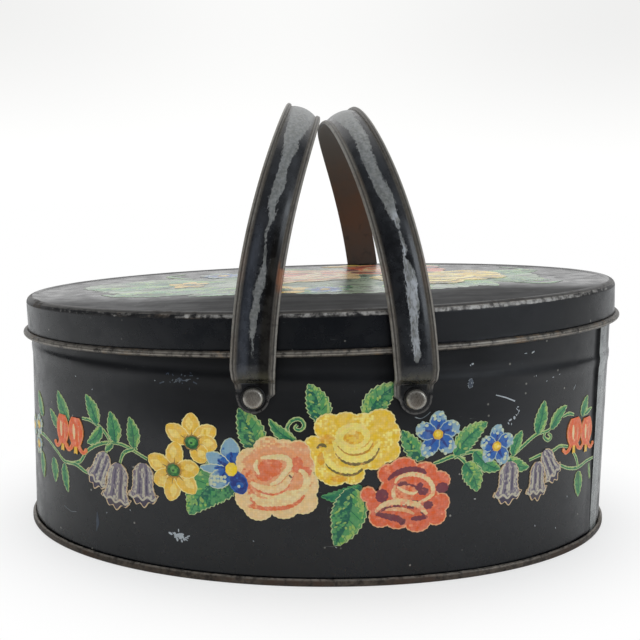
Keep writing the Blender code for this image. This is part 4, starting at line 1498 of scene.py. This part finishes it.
def peach_rose(pen):
    def tone(x, y):
        # cream towards the border, warmer to the upper right
        radius = np.hypot((x + 22.0) / 15.8, (y - 42.5) / 15.6)
        return 0.34 + 0.34 * smooth(0.66, 0.92, radius) - 0.008 * (y - 43) \
            - 0.22 * smooth(-20, -10, x) * smooth(42, 50, y)
    rose(pen, [(-31.1, 48, 5.8, 5.8), (-24.6, 53.5, 5.7, 5), (-18.8, 53.7, 5.3, 3.9),
               (-13.4, 52.4, 4.9, 5), (-12.2, 47.3, 5.3, 5.4), (-10.7, 39.8, 5.3, 6.2),
               (-11.3, 33.8, 5.7, 5.1), (-18.5, 31.7, 6.1, 5.1), (-28, 30.6, 5.8, 5.1),
               (-31.8, 34.5, 5.4, 5.5), (-32.5, 42.7, 4.6, 5.5), (-22.3, 43.2, 11.4, 10.9)],
         "peach", "peach_pale", "peach_rim", tone)
    blotches(pen, [(-23.4, 47.6, 4.2, 2.3), (-25.9, 44.5, 3.8, 3.5), (-22.7, 45.8, 3, 2.7),
                   (-13.7, 48, 2.3, 3.1), (-10.4, 45.4, 2.3, 1.9), (-32.5, 43.8, 2.3, 2),
                   (-30.7, 38.7, 1.5, 3.5), (-29.5, 33.9, 1.9, 1.6), (-23.3, 37.6, 3.4, 1),
                   (-24.4, 31.1, 7.6, 1.4)],
             "peach_deep", "peach", [0.36] * 5 + [0.52] * 5, knob=0.35, period=1.7)
    under = ("peach_deep", "peach")
    lip(pen, [(-31, 35.7), (-27.3, 32.9), (-22.2, 33.1), (-17.5, 33.7), (-13.5, 35.6),
              (-11, 38.3)], 1.7, "peach_pale", "peach_rim", under, drop=2.0)
    lip(pen, [(-12.9, 46.1), (-10.7, 44.3), (-10, 40.6), (-12.1, 37.2), (-17.5, 36.3),
              (-23.7, 35.7), (-27.3, 35.9)], 1.5, "peach_pale", "peach_rim", tone=0.55)
    lip(pen, [(-31.1, 40.5), (-28.1, 38.8), (-23, 37.9), (-19.3, 39.2), (-17.2, 41.5),
              (-15.4, 44.9)], 1.45, "peach_pale", "cream", under, tone=0.45, drop=1.2)
    lip(pen, [(-27.5, 50.1), (-23.1, 50.6), (-19.5, 50.8), (-16.9, 49.7), (-16.5, 47.1),
              (-18.3, 44.5), (-20.8, 41.4), (-23.7, 39.8)], 1.15, "peach_rim", "cream")
    lip(pen, [(-28.6, 49.4), (-29.4, 46.6), (-27.9, 43.6)], 0.8, "peach_rim", "cream")
    pen.strip([(-16.6, 43.9), (-15.6, 42.8)], 0.34, "plum", "butter_shade")


def yellow_rose(pen):
    rose(pen, [(-7.5, 55.7, 3.8, 3.5), (-2, 62.4, 5.6, 5.4), (4.4, 64.6, 5.3, 3.8),
               (11.3, 64.5, 4.9, 3.5), (17.4, 64.9, 5.8, 4.6), (20.7, 59.5, 4.6, 5.4),
               (20.4, 53.3, 5, 4.7), (15.2, 49.4, 4.6, 3.5), (7.4, 44.6, 4.6, 4.3),
               (0.4, 43.7, 5.3, 3.9), (-3.9, 46.4, 3.4, 4.7), (-5.7, 51.7, 3.8, 4.3),
               (6.3, 55.3, 12.9, 10.4)],
         "butter", "butter_pale", "yellow_rim",
         lambda x, y: 0.42 + 0.10 * np.sin(x * 0.4) * np.cos(y * 0.33))
    blotches(pen, [(-2.4, 57.9, 3, 1.9), (4.5, 57.5, 2.6, 1.5), (11.4, 60.6, 1.9, 1.5),
                   (12.8, 55.7, 2.3, 1.5), (7.5, 58.4, 1.5, 1.2), (5.9, 53.5, 3, 1),
                   (-4.5, 50.5, 1.6, 2.6), (2.0, 42.6, 3.0, 1.2)],
             "butter_deep", "butter", 0.42, knob=0.3, period=1.7)
    pen.strip(spline([(-6.4, 54.4), (-5.2, 55.4), (-3.8, 55.6), (-2.8, 54.9)], 0.4),
              lambda t: 0.2 + 0.6 * bulge(t, 0.05, 0.9), "butter_shade", "butter_deep", 0.42)
    pen.dot((6.9, 59.0), 6.6, 4.9, "butter", "butter_pale", 0.66, knob=0.4)
    pen.dot((7.4, 58.2), 3.9, 3.0, "butter_deep", "butter", 0.55, knob=0.3)
    pen.dot((6.6, 60.7), 1.4, 1.1, "yellow_pale", "butter_pale", 0.4, knob=0.2)
    lip(pen, [(1.4, 60.2), (4, 62.4), (7.4, 63.7), (11.4, 62.3), (12.7, 59.2), (10.6, 56.1),
              (6.7, 55.3), (3.2, 57.1), (1.6, 59.0)], 0.75, "butter_pale", "yellow_pale")
    under = ("butter_shade", "yellow_shade")
    lip(pen, [(-0.2, 57.5), (1.6, 53.5), (5.1, 50.8), (9.9, 50.4), (14.2, 52.1), (16.8, 56)],
        1.5, "butter_pale", "butter", under, tone=0.42, drop=1.5)
    lip(pen, [(1.2, 56.5), (4.6, 53.8), (8.2, 53.2), (12.2, 54.4), (14.4, 57.4)], 0.9,
        "butter_pale", "yellow_pale", ("yellow_shade", "butter_deep"), tone=0.4, drop=1.0)
    lip(pen, [(-3.8, 53.5), (-1.8, 49.1), (2.6, 46.4), (7.4, 45.9), (10.8, 47.7)], 1.3,
        "butter_pale", "butter", under, tone=0.42, drop=1.35)


def coral_rose(pen):
    rose(pen, [(13.3, 36.4, 3.1, 3.1), (20.6, 44.3, 3.9, 3.9), (26.8, 46.3, 5.5, 4.3),
               (35.1, 44.5, 5.3, 3.9), (40.9, 40.5, 5, 4), (42.2, 31.7, 3.8, 4),
               (40.5, 26.8, 4.2, 4), (33, 24.6, 5.3, 4), (25.2, 25.5, 4.8, 3.2),
               (18.4, 27.6, 4.7, 4.4), (16.4, 33.1, 3.9, 4.3), (29, 35.3, 12, 11.1)],
         "coral", "coral_pale", "coral_rim",
         lambda x, y: 0.34 + 0.12 * np.sin(x * 0.35 + 1) * np.cos(y * 0.4))
    blotches(pen, [(18.6, 35.8, 2.5, 2.6), (42.5, 37.7, 2.6, 2.1), (37, 31.2, 2, 1.6),
                   (31.4, 32.7, 1.6, .8), (33.5, 39.2, 1.2, 1.2), (26.6, 40.0, 2.0, 1.2),
                   (34.8, 36.8, 2.2, 1.5)], "plum", "coral", 0.34, knob=0.35, period=1.6)
    for points, width in (
            ([(20.7, 42), (24.2, 44.6), (29.1, 45.8), (34.2, 45), (35.6, 43.6)], 1.15),
            ([(26.1, 40.9), (28.4, 39.5), (31.6, 38.4), (34.5, 36.4), (35.9, 35.4)], 0.9),
            ([(17, 28.6), (21.1, 27.5), (25.2, 26.4), (27, 24.5), (27.4, 26.3)], 1.25),
            ([(30.2, 26.2), (33.4, 26.2), (36.7, 26.6)], 1.0)):
        lip(pen, points, width, "plum", "coral", tone=0.28)
    pen.dot((27.6, 36.6), 4.6, 3.0, "coral", "coral_pale", 0.55, knob=0.4)
    lip(pen, [(23.4, 40.6), (25.1, 42.8), (29.6, 43.9), (34.7, 42.7), (38.1, 39.4),
              (38.7, 35.7), (36, 33.6), (32.8, 32.4)], 0.95, "cream", "coral_pale", tone=0.46)
    lip(pen, [(23.6, 39.8), (22.9, 36.6), (24.6, 33.9), (28.4, 33.2)], 0.8, "coral_rim",
        "cream")
    lip(pen, [(24.3, 39.2), (27.1, 37.3), (30.8, 36.2), (32.6, 37)], 0.6, "cream",
        "coral_pale", tone=0.3)
    lip(pen, [(16.1, 29.5), (19.1, 32.1), (24.1, 33.3), (29.5, 32.6), (33.3, 31),
              (36.6, 27.6)], 1.25, "cream", "coral_pale", ("plum", "coral"), tone=0.46,
        drop=1.4)
    lip(pen, [(20.0, 30.2), (24.2, 30.4), (28.4, 29.6), (31.4, 28.0)], 0.8, "coral_rim",
        "cream", tone=0.45)


# ---- the garland on the wall --------------------------------------------------
# all positions: distance right of the front middle, height
VINES = (
    [(-133.8, 42.9), (-126.2, 39.8), (-119.2, 36.7), (-109.4, 38.8), (-105.3, 43.5),
     (-100.6, 46.7), (-95.4, 48.9), (-90.2, 49.9), (-85.6, 49.8), (-80.8, 48.4),
     (-73.7, 45.5)],
    [(-118.2, 37), (-111.2, 37), (-105.5, 35.2), (-101.9, 35.8)],
    [(-107.4, 57.3), (-102.6, 57.2), (-98.6, 56), (-94.8, 53.9), (-91.7, 50.3)],
    [(-79.9, 48.7), (-84.7, 46.5), (-86.7, 42.1)],
    [(-92.0, 49.5), (-93.4, 47.4), (-93.8, 45.0)],
    [(-80.8, 52), (-78.6, 48.4)],
    [(38.9, 47.2), (42, 48.1), (47.3, 49.6), (52.2, 48.1)],
    [(47.4, 48.9), (51.2, 50.2), (56.7, 50.9), (62.3, 50)],
    [(49.1, 49.5), (51.8, 47.3), (52.7, 45.3)],
    [(71.6, 45.8), (75.2, 47.8), (80.4, 51.2), (86.3, 54.4), (92.6, 55), (95.4, 56.3)],
    [(102.2, 59.7), (106.4, 60.3), (110.2, 59.3)],
    [(83, 44.3), (89, 45.5), (96.2, 46.1), (101.2, 47.4), (106.9, 46.2)],
    [(101.4, 39.4), (107.8, 36.8), (115.5, 35.6), (123.4, 36.7), (130.2, 36.9)],
    [(110.8, 43.4), (113.8, 40), (115.9, 35.6)],
    [(126.1, 35.4), (126.9, 31.9), (127.9, 28.1)],
    [(-133.8, 42.9), (-141, 44.0), (-148, 43.0)],
    [(-14.6, 57), (-17.0, 59.8), (-17.4, 62.6), (-15.4, 65.0), (-12.6, 65.2), (-11.2, 63.0),
     (-12.6, 61.2), (-14.8, 61.8), (-13.8, 63.2)],
    [(91.3, 54.7), (90.8, 52.7), (93.3, 51.1), (95.1, 52.3), (93.1, 53.9)],
)

# base, tip, width, bend, kind where not plain green
LEAVES = (
    ((-116.5, 54.5), (-124.5, 66), 7, 0.05), ((-124.5, 50), (-132, 57), 4.5, 0),
    ((-98.5, 56), (-105, 67.5), 6.5, -0.05), ((-89, 50), (-91.5, 62.5), 7, -0.04),
    ((-80, 49), (-82, 61.5), 6, -0.06), ((-96, 55.5), (-104.5, 47.5), 5, 0.1),
    ((-129.5, 36.5), (-128, 26), 6, 0.06), ((-120, 36), (-117.5, 24), 5.2, -0.06),
    ((-90, 49.5), (-94.5, 45.5), 2.5, 0), ((-29.0, 51.5), (-36.2, 68.8), 11.5, -0.06, "teal"),
    ((-14.0, 56.6), (-24.6, 65.2), 4.8, 0.10), ((-4.5, 63.5), (-10, 79), 10, -0.06, "teal"),
    ((12, 65), (24, 79), 10.5, 0.1, "teal"), ((35, 49), (26, 61), 8, 0.04, "teal"),
    ((11, 39.5), (-4.5, 35.5), 5, 0.1, "dark"), ((7, 39), (1, 16), 14.5, 0.08, "teal"),
    ((-33.5, 44), (-55.6, 25.4), 17.5, -0.14, "teal"), ((47.5, 50), (61.5, 62), 8.5, 0.08),
    ((56, 51), (68.5, 42.5), 7, -0.1), ((52, 46.5), (58, 34.5), 8.5, 0.08),
    ((74, 47.5), (78.5, 57), 5.5, 0.05), ((72, 46.5), (83, 41.5), 5.5, -0.1),
    ((86.5, 54.5), (90, 68), 7, -0.04), ((94.5, 55.5), (104.5, 64), 5.5, 0.08),
    ((116.5, 57.5), (121, 66), 5.5, 0), ((118.5, 58), (126, 60), 2, 0),
    ((115.5, 34), (117, 22.5), 6.4, 0.04),
    ((-142, 36), (-140, 25), 5.5, 0), ((-140, 52), (-146, 62), 5.5, 0),
)

# top, middle of the mouth, width, levels above the leaves
GREY_BELLS = (
    ((-93.6, 45.2), (-99.5, 33.1), 11.5, 0), ((-75.5, 43.7), (-75.9, 29.5), 13, 0),
    ((72.9, 45.1), (72.4, 30.9), 13, 0), ((91, 47.2), (97.7, 36.1), 10.5, 0),
    ((-87.1, 42), (-89, 26.5), 14, 8), ((87.7, 43.1), (87.7, 30.2), 11, 8),
)

# centre, width, sides with a curled tail, levels above the leaves
ORANGE_BELLS = (
    ((-120.8, 49.9), 9.2, (1, -1), 0), ((-111.4, 50.2), 9.6, (1, -1), 6),
    ((111.0, 51.2), 11.2, (-1, 1), 0), ((121.4, 49.8), 10.4, (1,), 6),
)

# centre, petal tips, petal width
SMALL_BLUES = tuple(
    (centre, [(centre[0] + 4.6 * math.cos(a), centre[1] + 4.6 * math.sin(a))
              for a in np.radians([90, 162, 234, 306, 18])], 4.2)
    for centre in ((-145.4, 47.3), (-146.3, 38.6), (-155.2, 45)))
LARGE_BLUES = (
    ((40.3, 58.7), [(40.6, 68), (49.3, 61.8), (46.2, 51.2), (34.2, 50.6), (31.4, 62)], 7.4),
    ((66.1, 52), [(66.4, 60.8), (74.0, 54.9), (70.6, 44.6), (59.9, 47.2), (58.9, 54.9)], 6.9),
)
UPPER_STAR = ((-54.5, 54.1), [(-54.7, 65.8), (-44.8, 60.3), (-44.3, 53.4), (-49.4, 46.5),
                              (-65.2, 60.1)], 8.0)
LOWER_STAR = ((-62, 42.5), [(-60.9, 54), (-73.1, 47.1), (-70.4, 36.7), (-63.7, 30.1),
                            (-53, 34.1), (-51.4, 43.8)], 8.0)


def draw_middle_blue(pen):
    """Petals of the blue flower at the left of the peach rose."""
    centre = np.array((-38.3, 45.0))
    for tip, width in (((-39.2, 57.2), 8.4), ((-48.6, 50.6), 7.0), ((-51.2, 45.0), 4.2),
                       ((-47.4, 38.2), 8.0)):
        draw_petal(pen, centre, tip, width, "blue", "blue_pale", "blue_rim",
                   lambda t, c: 0.32 + 0.46 * smooth(0.25, 0.85, t))
        root = (np.array(tip) - centre) * 0.55
        pen.strip([centre + root * 0.2, centre + root], lambda t: 1.0 * (1 - 0.7 * t),
                  "blue_dark", "blue")
        pen.level -= 1.4
    pen.level += 2
    for k in range(12):
        pen.dot((-46.6 + 1.35 * (k % 5), 41.8 - 1.5 * (k // 5) - 0.3 * (k % 2)), 0.68, 0.68,
                "blue_rim", "blue_pale", 0.3, step=0.6, rise=0)
    pen.level += 1


def draw_garland(pen):
    for points in VINES:
        draw_vine(pen, points, rise=0.2)
    pen.level += 1
    for *shape, bend in (leaf[:4] for leaf in ()):
        pass
    for base, tip, width, bend, *kind in LEAVES:
        before = pen.level
        draw_leaf(pen, base, tip, width, bend, *kind)
        pen.level = before + (3 if kind else 0)
    pen.level += 5
    ground = pen.level
    for flower in SMALL_BLUES:
        pen.level = ground
        blue_flower(pen, *flower)
    for *bell, above in GREY_BELLS:
        pen.level = ground + above
        grey_bell(pen, *bell)
    for *bell, above in ORANGE_BELLS:
        pen.level = ground + above
        orange_bell(pen, *bell)
    for flower in LARGE_BLUES:
        pen.level = ground
        blue_flower(pen, *flower)
    pen.level = ground
    star_flower(pen, *UPPER_STAR)
    star_flower(pen, *LOWER_STAR)
    draw_middle_blue(pen)
    yellow_rose(pen)
    peach_rose(pen)
    coral_rose(pen)
    # last petal and ball of the blue flower, over the peach rose
    draw_petal(pen, (-38.3, 44.5), (-34.0, 35.6), 7.4, "blue_dark", "blue", "blue", 0.42)
    pen.dot((-35.2, 39.2), 1.5, 1.1, "blue", "blue_pale", 0.3, knob=0.2)
    pen.dot((-35.6, 38.6), 0.6, 0.6, "blue_rim", "blue_pale", 0.4, knob=0.1)
    pen.dot((-38.6, 45.0), 2.3, 2.6, "sun", "sun_dark", 0.38, knob=0.2)


def wall_place(around, z, out):
    return on_wall(around, z, out + wall_relief(around, z))


def build_print():
    """The garland on the front, and again half a turn round on the back."""
    for name, turn in (("print_front", 0.0), ("print_back", GIRTH / 2)):
        pen = Print(lambda x, y, out: wall_place(x + turn, y, out))
        draw_garland(pen)
        pen.build(name, MATERIALS["ink"], "tin_body")


# ---- the bouquet on the lid ---------------------------------------------------
def lid_place(x, y, out):
    """Flat lid coordinates to the printed top panel."""
    return tip_lid(np.stack([x, y, LID_TOP - 0.35 + lid_rise(x, y) + out], -1))


# x, y, rx, ry
LID_GROUND = ((-46, 48, 18, 16), (-24, 44, 17, 20), (2, 50, 19, 27), (24, 44, 17, 19),
              (40, 48, 14, 14), (4, 32, 22, 11), (8, 70, 24, 12), (-56, 50, 12, 9))
# base, tip, width
LID_LEAVES = (
    ((-30, 52), (-60, 58), 15), ((-30, 40), (-58, 32), 15), ((40, 50), (58, 60), 13),
    ((38, 42), (54, 36), 13), ((4, 66), (-16, 84), 15), ((14, 66), (34, 82), 15),
    ((-22, 40), (-38, 25), 14), ((0, 38), (-12, 24), 13), ((10, 40), (20, 24), 14),
    ((26, 40), (38, 27), 12), ((-18, 60), (-36, 76), 14), ((-44, 46), (-66, 46), 10))
LID_VINES = ([(-48, 38), (-55, 30), (-60, 34)], [(46, 52), (54, 62), (50, 70)],
             [(-40, 62), (-48, 70), (-44, 76)], [(40, 38), (50, 30), (56, 34)])
# flower, place on the lid, enlargement, (centre, petal tips, petal width)
LID_FLOWERS = (
    (star_flower, (20, 78), (1.5, 1.0), UPPER_STAR),
    (star_flower, (-62, 8), (0.9, 1.2),
     ((-46, 50), [(-46, 61), (-36, 54), (-39, 41), (-52, 40), (-57, 53)], 8.0)),
    (star_flower, (-18, -28), (1.2, 1.4),
     ((-22, 16), [(-22, 27), (-12, 19), (-16, 8), (-28, 8), (-32, 19)], 8.0)),
    (blue_flower, (0, -30), (1.1, 1.3),
     ((53, 44), [(53, 53), (61, 47), (58, 36), (48, 36), (45, 47)], 7.4)),
    (blue_flower, (-48, 46), (1.5, 1.8),
     ((-34, 66), [(-34, 74), (-27, 69), (-30, 60), (-38, 60), (-42, 68)], 6.6)),
)


def build_lid_print():
    """A faded bouquet in the middle of the lid, from the wall's flowers enlarged."""
    pen = Print(lid_place, 0.05, 0.003)
    pen.rim_scale = 0.5
    pen.aim(8, -90, 0, 0)
    for k, (x, y, rx, ry) in enumerate(LID_GROUND):
        pen.dot((x, y), rx, ry, "sage", "sage_dark",
                lambda x, y: 0.40 + 0.20 * np.sin(x * 0.31 + y * 0.17) * np.cos(y * 0.27),
                knob=0.9, period=3.4, phase=k)
    pen.level += 1
    for base, tip, width in LID_LEAVES:
        before = pen.level
        draw_leaf(pen, base, tip, width, 0.08, "teal")
        pen.level = before + 0.6
    pen.level += 5
    for points in LID_VINES:
        draw_vine(pen, points, 0.9)
    ground = pen.level
    for draw, place, growth, flower in LID_FLOWERS:
        pen.level = ground
        pen.aim(*place, *flower[0], *growth)
        draw(pen, *flower)
    # the last flower's layers are kept below the roses
    pen.level = ground + blue_lid_rise(pen, ground)
    pen.aim(36, 54, 29, 35.3)
    coral_rose(pen)
    pen.aim(-10, 34, -22.3, 43.2)
    peach_rose(pen)
    pen.aim(54, 8, 6.3, 55.3)
    yellow_rose(pen)
    pen.build("print_lid", MATERIALS["ink_lid"], "lid")


def blue_lid_rise(pen, ground):
    """Levels the last flower on the lid takes up."""
    return pen.level - ground


# ---- chips and scratches ------------------------------------------------------
# x, y, rx, ry, turn
LONG_CHIPS = ((53.9, 85.4, .5, .36, .3), (53.0, 84.9, .3, .2, 2.0), (78.6, 88.0, .7, .16, .1),
              (82.4, 88.2, .8, .3, .5), (74.3, 62.6, .5, .7, .2), (109.5, 71.0, 1.3, .1, .9))
# x, y, radius
SMALL_CHIPS = (
    (75.8, 66.8, .45), (76.6, 65.2, .35), (75.2, 63.6, .4), (72.3, 61.9, .7),
    (71.5, 60.6, .5), (73.0, 60.2, .4), (94.4, 77, .4), (90.8, 75.8, .3), (98.2, 77.8, .3),
    (84.4, 78.6, .25), (-111.0, 74.0, .3), (-101, 70, .3), (-58.6, 62.6, .3),
    (-70, 77, .25), (88, 16, .4), (108.2, 24.5, .35), (3.2, 17.6, .35), (1.6, 15.4, .3),
    (5.6, 18.6, .25), (57.2, 31.6, .4), (-94, 20.4, .3), (-82, 23.6, .3), (-30, 17.0, .25),
    (101, 12.4, .35))


def build_marks():
    """Chips, scuffs and scratches through the paint, as thin lifted flakes."""
    pen = Print(wall_place, 0.02, 0.004)
    marks = np.random.default_rng(5)

    def dab(x, y, rx, ry, first, second, tone, turn=0.0):
        pen.dot((x, y), rx, ry, first, second, tone, knob=0.12 * min(1, rx), period=0.8,
                phase=x, turn=turn, step=0.25)

    # cluster of chips low on the left front
    for k in range(30):
        angle, spread = marks.uniform(0, 6.28), abs(marks.normal(0, 1.0))
        dab(-60.0 + 2.5 * spread * math.cos(angle), 16.0 + 1.3 * spread * math.sin(angle),
            marks.uniform(0.3, 1.0), marks.uniform(0.2, 0.5), "chip", "chip_dark", 0.35,
            angle)
        pen.level = 1 + 0.1 * k
    dab(-59.8, 16.6, 1.9, 0.8, "chip", "chip_dark", 0.3, 0.3)
    # ringed spot under the swage, right of the middle
    dab(53.2, 77.9, 1.05, 1.8, "haze", "chip_dark", 0.46)
    for k in range(22):
        angle = 0.2856 * k + marks.normal(0, 0.12)
        spread = 1.0 if k % 3 else marks.uniform(0.2, 0.7)
        dab(53.2 + 1.1 * spread * math.cos(angle), 77.9 + 1.85 * spread * math.sin(angle),
            marks.uniform(0.14, 0.36), marks.uniform(0.10, 0.2), "chip", "haze", 0.5,
            angle + 1.57)
        pen.level = 2 + 0.1 * k
    for x, y, rx, ry, turn in LONG_CHIPS:
        dab(x, y, rx, ry, "chip", "bell", 0.4, turn)
        pen.level = 4
    pen.strip(spline([(75.0, 66.3), (76.3, 65.0), (75.7, 63.7)], 0.3), 0.13, "chip",
              "chip_dark", 0.4)
    pen.strip([(64.9, 72.5), (69.5, 71.2), (74.2, 69.3)], lambda t: 0.18 + 0.1 * t, "chip",
              "chip_dark", 0.3)
    for x, y, radius in SMALL_CHIPS:
        dab(x, y, radius * 1.15, radius * 0.5, "chip", "bell", 0.4, 1.7 * x)
        pen.level = 4
    # single scratches and smears
    pen.strip([(-37.4, 76.9), (-35.6, 76.6), (-33.9, 76.8)],
              lambda t: 0.22 + 0.45 * bulge(t, 0.05, 0.9), "rust", "tip", 0.35)
    pen.strip(spline([(30.8, 65.8), (33.2, 65.2), (35.4, 66.2), (37.0, 67.6)], 0.3), 0.16,
              "chip_dark", "chip", 0.4)
    pen.strip([(-121, 17.5), (-116, 16.2), (-112, 16.9)], 0.14, "chip_dark", "chip", 0.4)
    pen.strip([(-99.2, 19.6), (-99.0, 15.0), (-99.8, 11.6)],
              lambda t: 0.25 + 0.6 * math.sin(math.pi * t) ** 2, "haze", "chip", 0.34)
    # short hazy strokes on the left front
    for _ in range(26):
        x, y = -58.6 + marks.normal(0, 3.6), 78.1 + marks.normal(0, 1.5)
        pen.strip([(x, y), (x + marks.normal(0.8, .6), y + marks.normal(0.3, .5))],
                  0.13 + 0.1 * marks.random(), "haze", "chip_dark", 0.45)
        pen.level = 4
    # the rest of the wall: a scatter of the same kinds
    for _ in range(70):
        x = marks.uniform(150, GIRTH - 170)
        y = marks.choice([marks.uniform(8, 22), marks.uniform(64, 79), marks.uniform(8, 79)])
        if marks.random() < 0.35:
            angle = marks.uniform(-0.9, 0.9)
            length = marks.uniform(1.5, 7)
            pen.strip([(x, y), (x + length * math.cos(angle),
                                y + length * math.sin(angle) * 0.6)],
                      0.12, "chip_dark", "chip", 0.4)
        else:
            radius = marks.uniform(0.2, 0.5)
            dab(x, y, radius * 1.3, radius * 0.8, "chip", "chip_dark", 0.4, x)
        pen.level = 4
    pen.build("wall_chips", MATERIALS["ink"], "tin_body")


# ---- floor, light and camera --------------------------------------------------
def build_floor():
    tree = Material("studio_floor")
    depth = tree.split(tree.point)[1]
    tone = tree.mix(tree.noise(3.0, detail=2.0).ramp(0.3, 0.7), (0.93, 0.93, 0.925),
                    (0.96, 0.96, 0.955))
    # reflections see a dark floor in front of the tin
    front = depth.ramp(-0.28, -0.42)
    tone = tree.mix(front * tree.light_path("Is Glossy Ray"), tone, (0.12, 0.13, 0.15))
    material = tree.finish(tone, 0.9, 0.0, specular=0.05)
    # seen directly it melts into the white backdrop away from the tin
    far = tree.vector("LENGTH", tree.vector("MULTIPLY", tree.point, (1.0, 1.25, 0.0)))
    melt = far.ramp(0.11, 0.20, 0.58, 1.0) * tree.light_path("Is Camera Ray")
    glow = tree.node("ShaderNodeEmission", {"Strength": 1.0})
    both = tree.node("ShaderNodeMixShader", {
        0: melt, 1: Value(tree, tree.surface.outputs[0]), 2: glow})
    tree.put(tree.tree.nodes["Material Output"].inputs["Surface"], both)
    radii = (400.0, 1000.0, 1800.0, 6000.0)
    count = 72
    verts = [(0.0, 0.0, 0.0)]
    for radius in radii:
        for k in range(count):
            angle = 2 * math.pi * k / count
            verts.append((radius * math.cos(angle), radius * math.sin(angle), 0.0))
    faces = [(0, 1 + k, 1 + (k + 1) % count) for k in range(count)]
    for i in range(len(radii) - 1):
        inner, outer = 1 + i * count, 1 + (i + 1) * count
        for k in range(count):
            j = (k + 1) % count
            faces.append((inner + k, outer + k, outer + j, inner + j))
    mesh_object("studio_floor", verts, faces, [material])


def area(name, place, target, size, energy, colour=(1, 1, 1), glossy=False):
    """Rectangular light, in metres and watts; only glossy ones show in reflections."""
    light = bpy.data.lights.new(name, "AREA")
    light.shape = "RECTANGLE"
    light.size, light.size_y = size
    light.energy = energy
    light.color = colour
    lamp = bpy.data.objects.new(name, light)
    bpy.context.scene.collection.objects.link(lamp)
    lamp.location = place
    aim = Vector(target) - Vector(place)
    lamp.rotation_euler = aim.to_track_quat("-Z", "Y").to_euler()
    lamp.visible_glossy = glossy
    lamp.visible_camera = False
    return lamp


def build_world():
    """White backdrop for the camera; a dim studio with a bright back for the rest."""
    world = bpy.data.worlds.new("studio")
    bpy.context.scene.world = world
    world.use_nodes = True
    world.node_tree.nodes.clear()
    tree = Tree(world.node_tree)
    x, y, z = tree.split(tree.coordinates("Generated"))

    def ramp_degrees(value, start, end):
        return value.ramp(math.radians(start), math.radians(end))
    # degrees from the front, on either side
    away = tree.math("ABSOLUTE", tree.math("ARCTAN2", x, y * -1.0))
    back = ramp_degrees(away, 122, 132)
    over = z.ramp(0.25, 0.85)
    side = ramp_degrees(away, 40, 70) * ramp_degrees(away, 112, 96) * z.ramp(0.30, -0.05)
    # pane on the right: degrees from the front towards +X
    signed = tree.math("ARCTAN2", x, y * -1.0)
    pane = ramp_degrees(signed, 30, 46) * ramp_degrees(signed, 100, 80)
    pane = pane * (z.ramp(0.0, 0.10) * z.ramp(0.96, 0.8))
    level = over * 0.34 + 0.03 + pane * 0.25 + side * 0.08
    level = tree.mix_number(back, level, 1.05)
    tint = tree.mix(back, (0.86, 0.93, 1.0), (1.0, 1.0, 1.0))
    lighting = tree.vector("SCALE", tint, level)
    # the backdrop darkens towards its upper corners
    high = z.ramp(-0.02, 0.16)
    corner = 1.04 - high * tree.math("ABSOLUTE", x).ramp(0.0, 0.34, 0.08, 0.17)
    backdrop = tree.vector("SCALE", (1.0, 1.0, 0.992), corner)
    colour = tree.mix(tree.light_path("Is Camera Ray"), lighting, backdrop)
    background = tree.node("ShaderNodeBackground", {"Color": colour, "Strength": 1.0})
    tree.outputs("ShaderNodeOutputWorld", {0: background})


def build_lights():
    area("key_top", (-0.15, -0.25, 1.3), (0, 0, 0.05), size=(1.6, 1.2), energy=6.0)
    area("fill_front", (0.1, -1.5, 0.75), (0, 0, 0.06), size=(1.8, 1.0), energy=5.5)
    area("fill_left", (-1.3, -0.5, 0.6), (0, 0, 0.06), size=(0.9, 0.9), energy=1.5)
    area("fill_right", (1.3, -0.5, 0.6), (0, 0, 0.06), size=(0.9, 0.9), energy=2.0)
    pane = area("pane_right", (1.10, -0.84, 0.50), (0, 0, 0.13), size=(0.70, 0.85),
                energy=6.0, colour=(0.86, 0.93, 1.0), glossy=True)
    pane.visible_diffuse = False
    area("fill_back", (0.0, 1.4, 0.8), (0, 0, 0.06), size=(1.8, 1.0), energy=4.0)


def build_camera():
    # degrees: round from the front, up from level, rolled about the view
    azimuth, elevation, roll = (math.radians(v) for v in (-2.8061, 8.0969, 0.9428))
    distance, target_x, target_z = 457.1416, -1.2621, 89.2508
    back = Vector((math.sin(azimuth) * math.cos(elevation),
                   -math.cos(azimuth) * math.cos(elevation), math.sin(elevation)))
    level = Vector((math.cos(azimuth), math.sin(azimuth), 0.0))
    upright = back.cross(level)
    right = level * math.cos(roll) + upright * math.sin(roll)
    up = upright * math.cos(roll) - level * math.sin(roll)
    place = (Vector((0, 0, target_z)) + level * target_x + back * distance) * MM
    lens = bpy.data.cameras.new("photo_view")
    lens.sensor_width = 36.0
    lens.lens = 54.985455
    lens.clip_start, lens.clip_end = 0.01, 30.0
    camera = bpy.data.objects.new("photo_view", lens)
    bpy.context.scene.collection.objects.link(camera)
    camera.matrix_world = Matrix((
        (right.x, up.x, back.x, place.x), (right.y, up.y, back.y, place.y),
        (right.z, up.z, back.z, place.z), (0, 0, 0, 1)))
    bpy.context.scene.camera = camera


# ---- assembly -----------------------------------------------------------------
build_wall()
build_bottom()
build_lid()
build_handle("strap_left", -1, "left_handle")
build_handle("strap_right", 1, "right_handle")
build_rivets()
build_print()
build_lid_print()
build_marks()
build_floor()
build_world()
build_lights()
build_camera()
bpy.context.scene.view_settings.view_transform = "Standard"
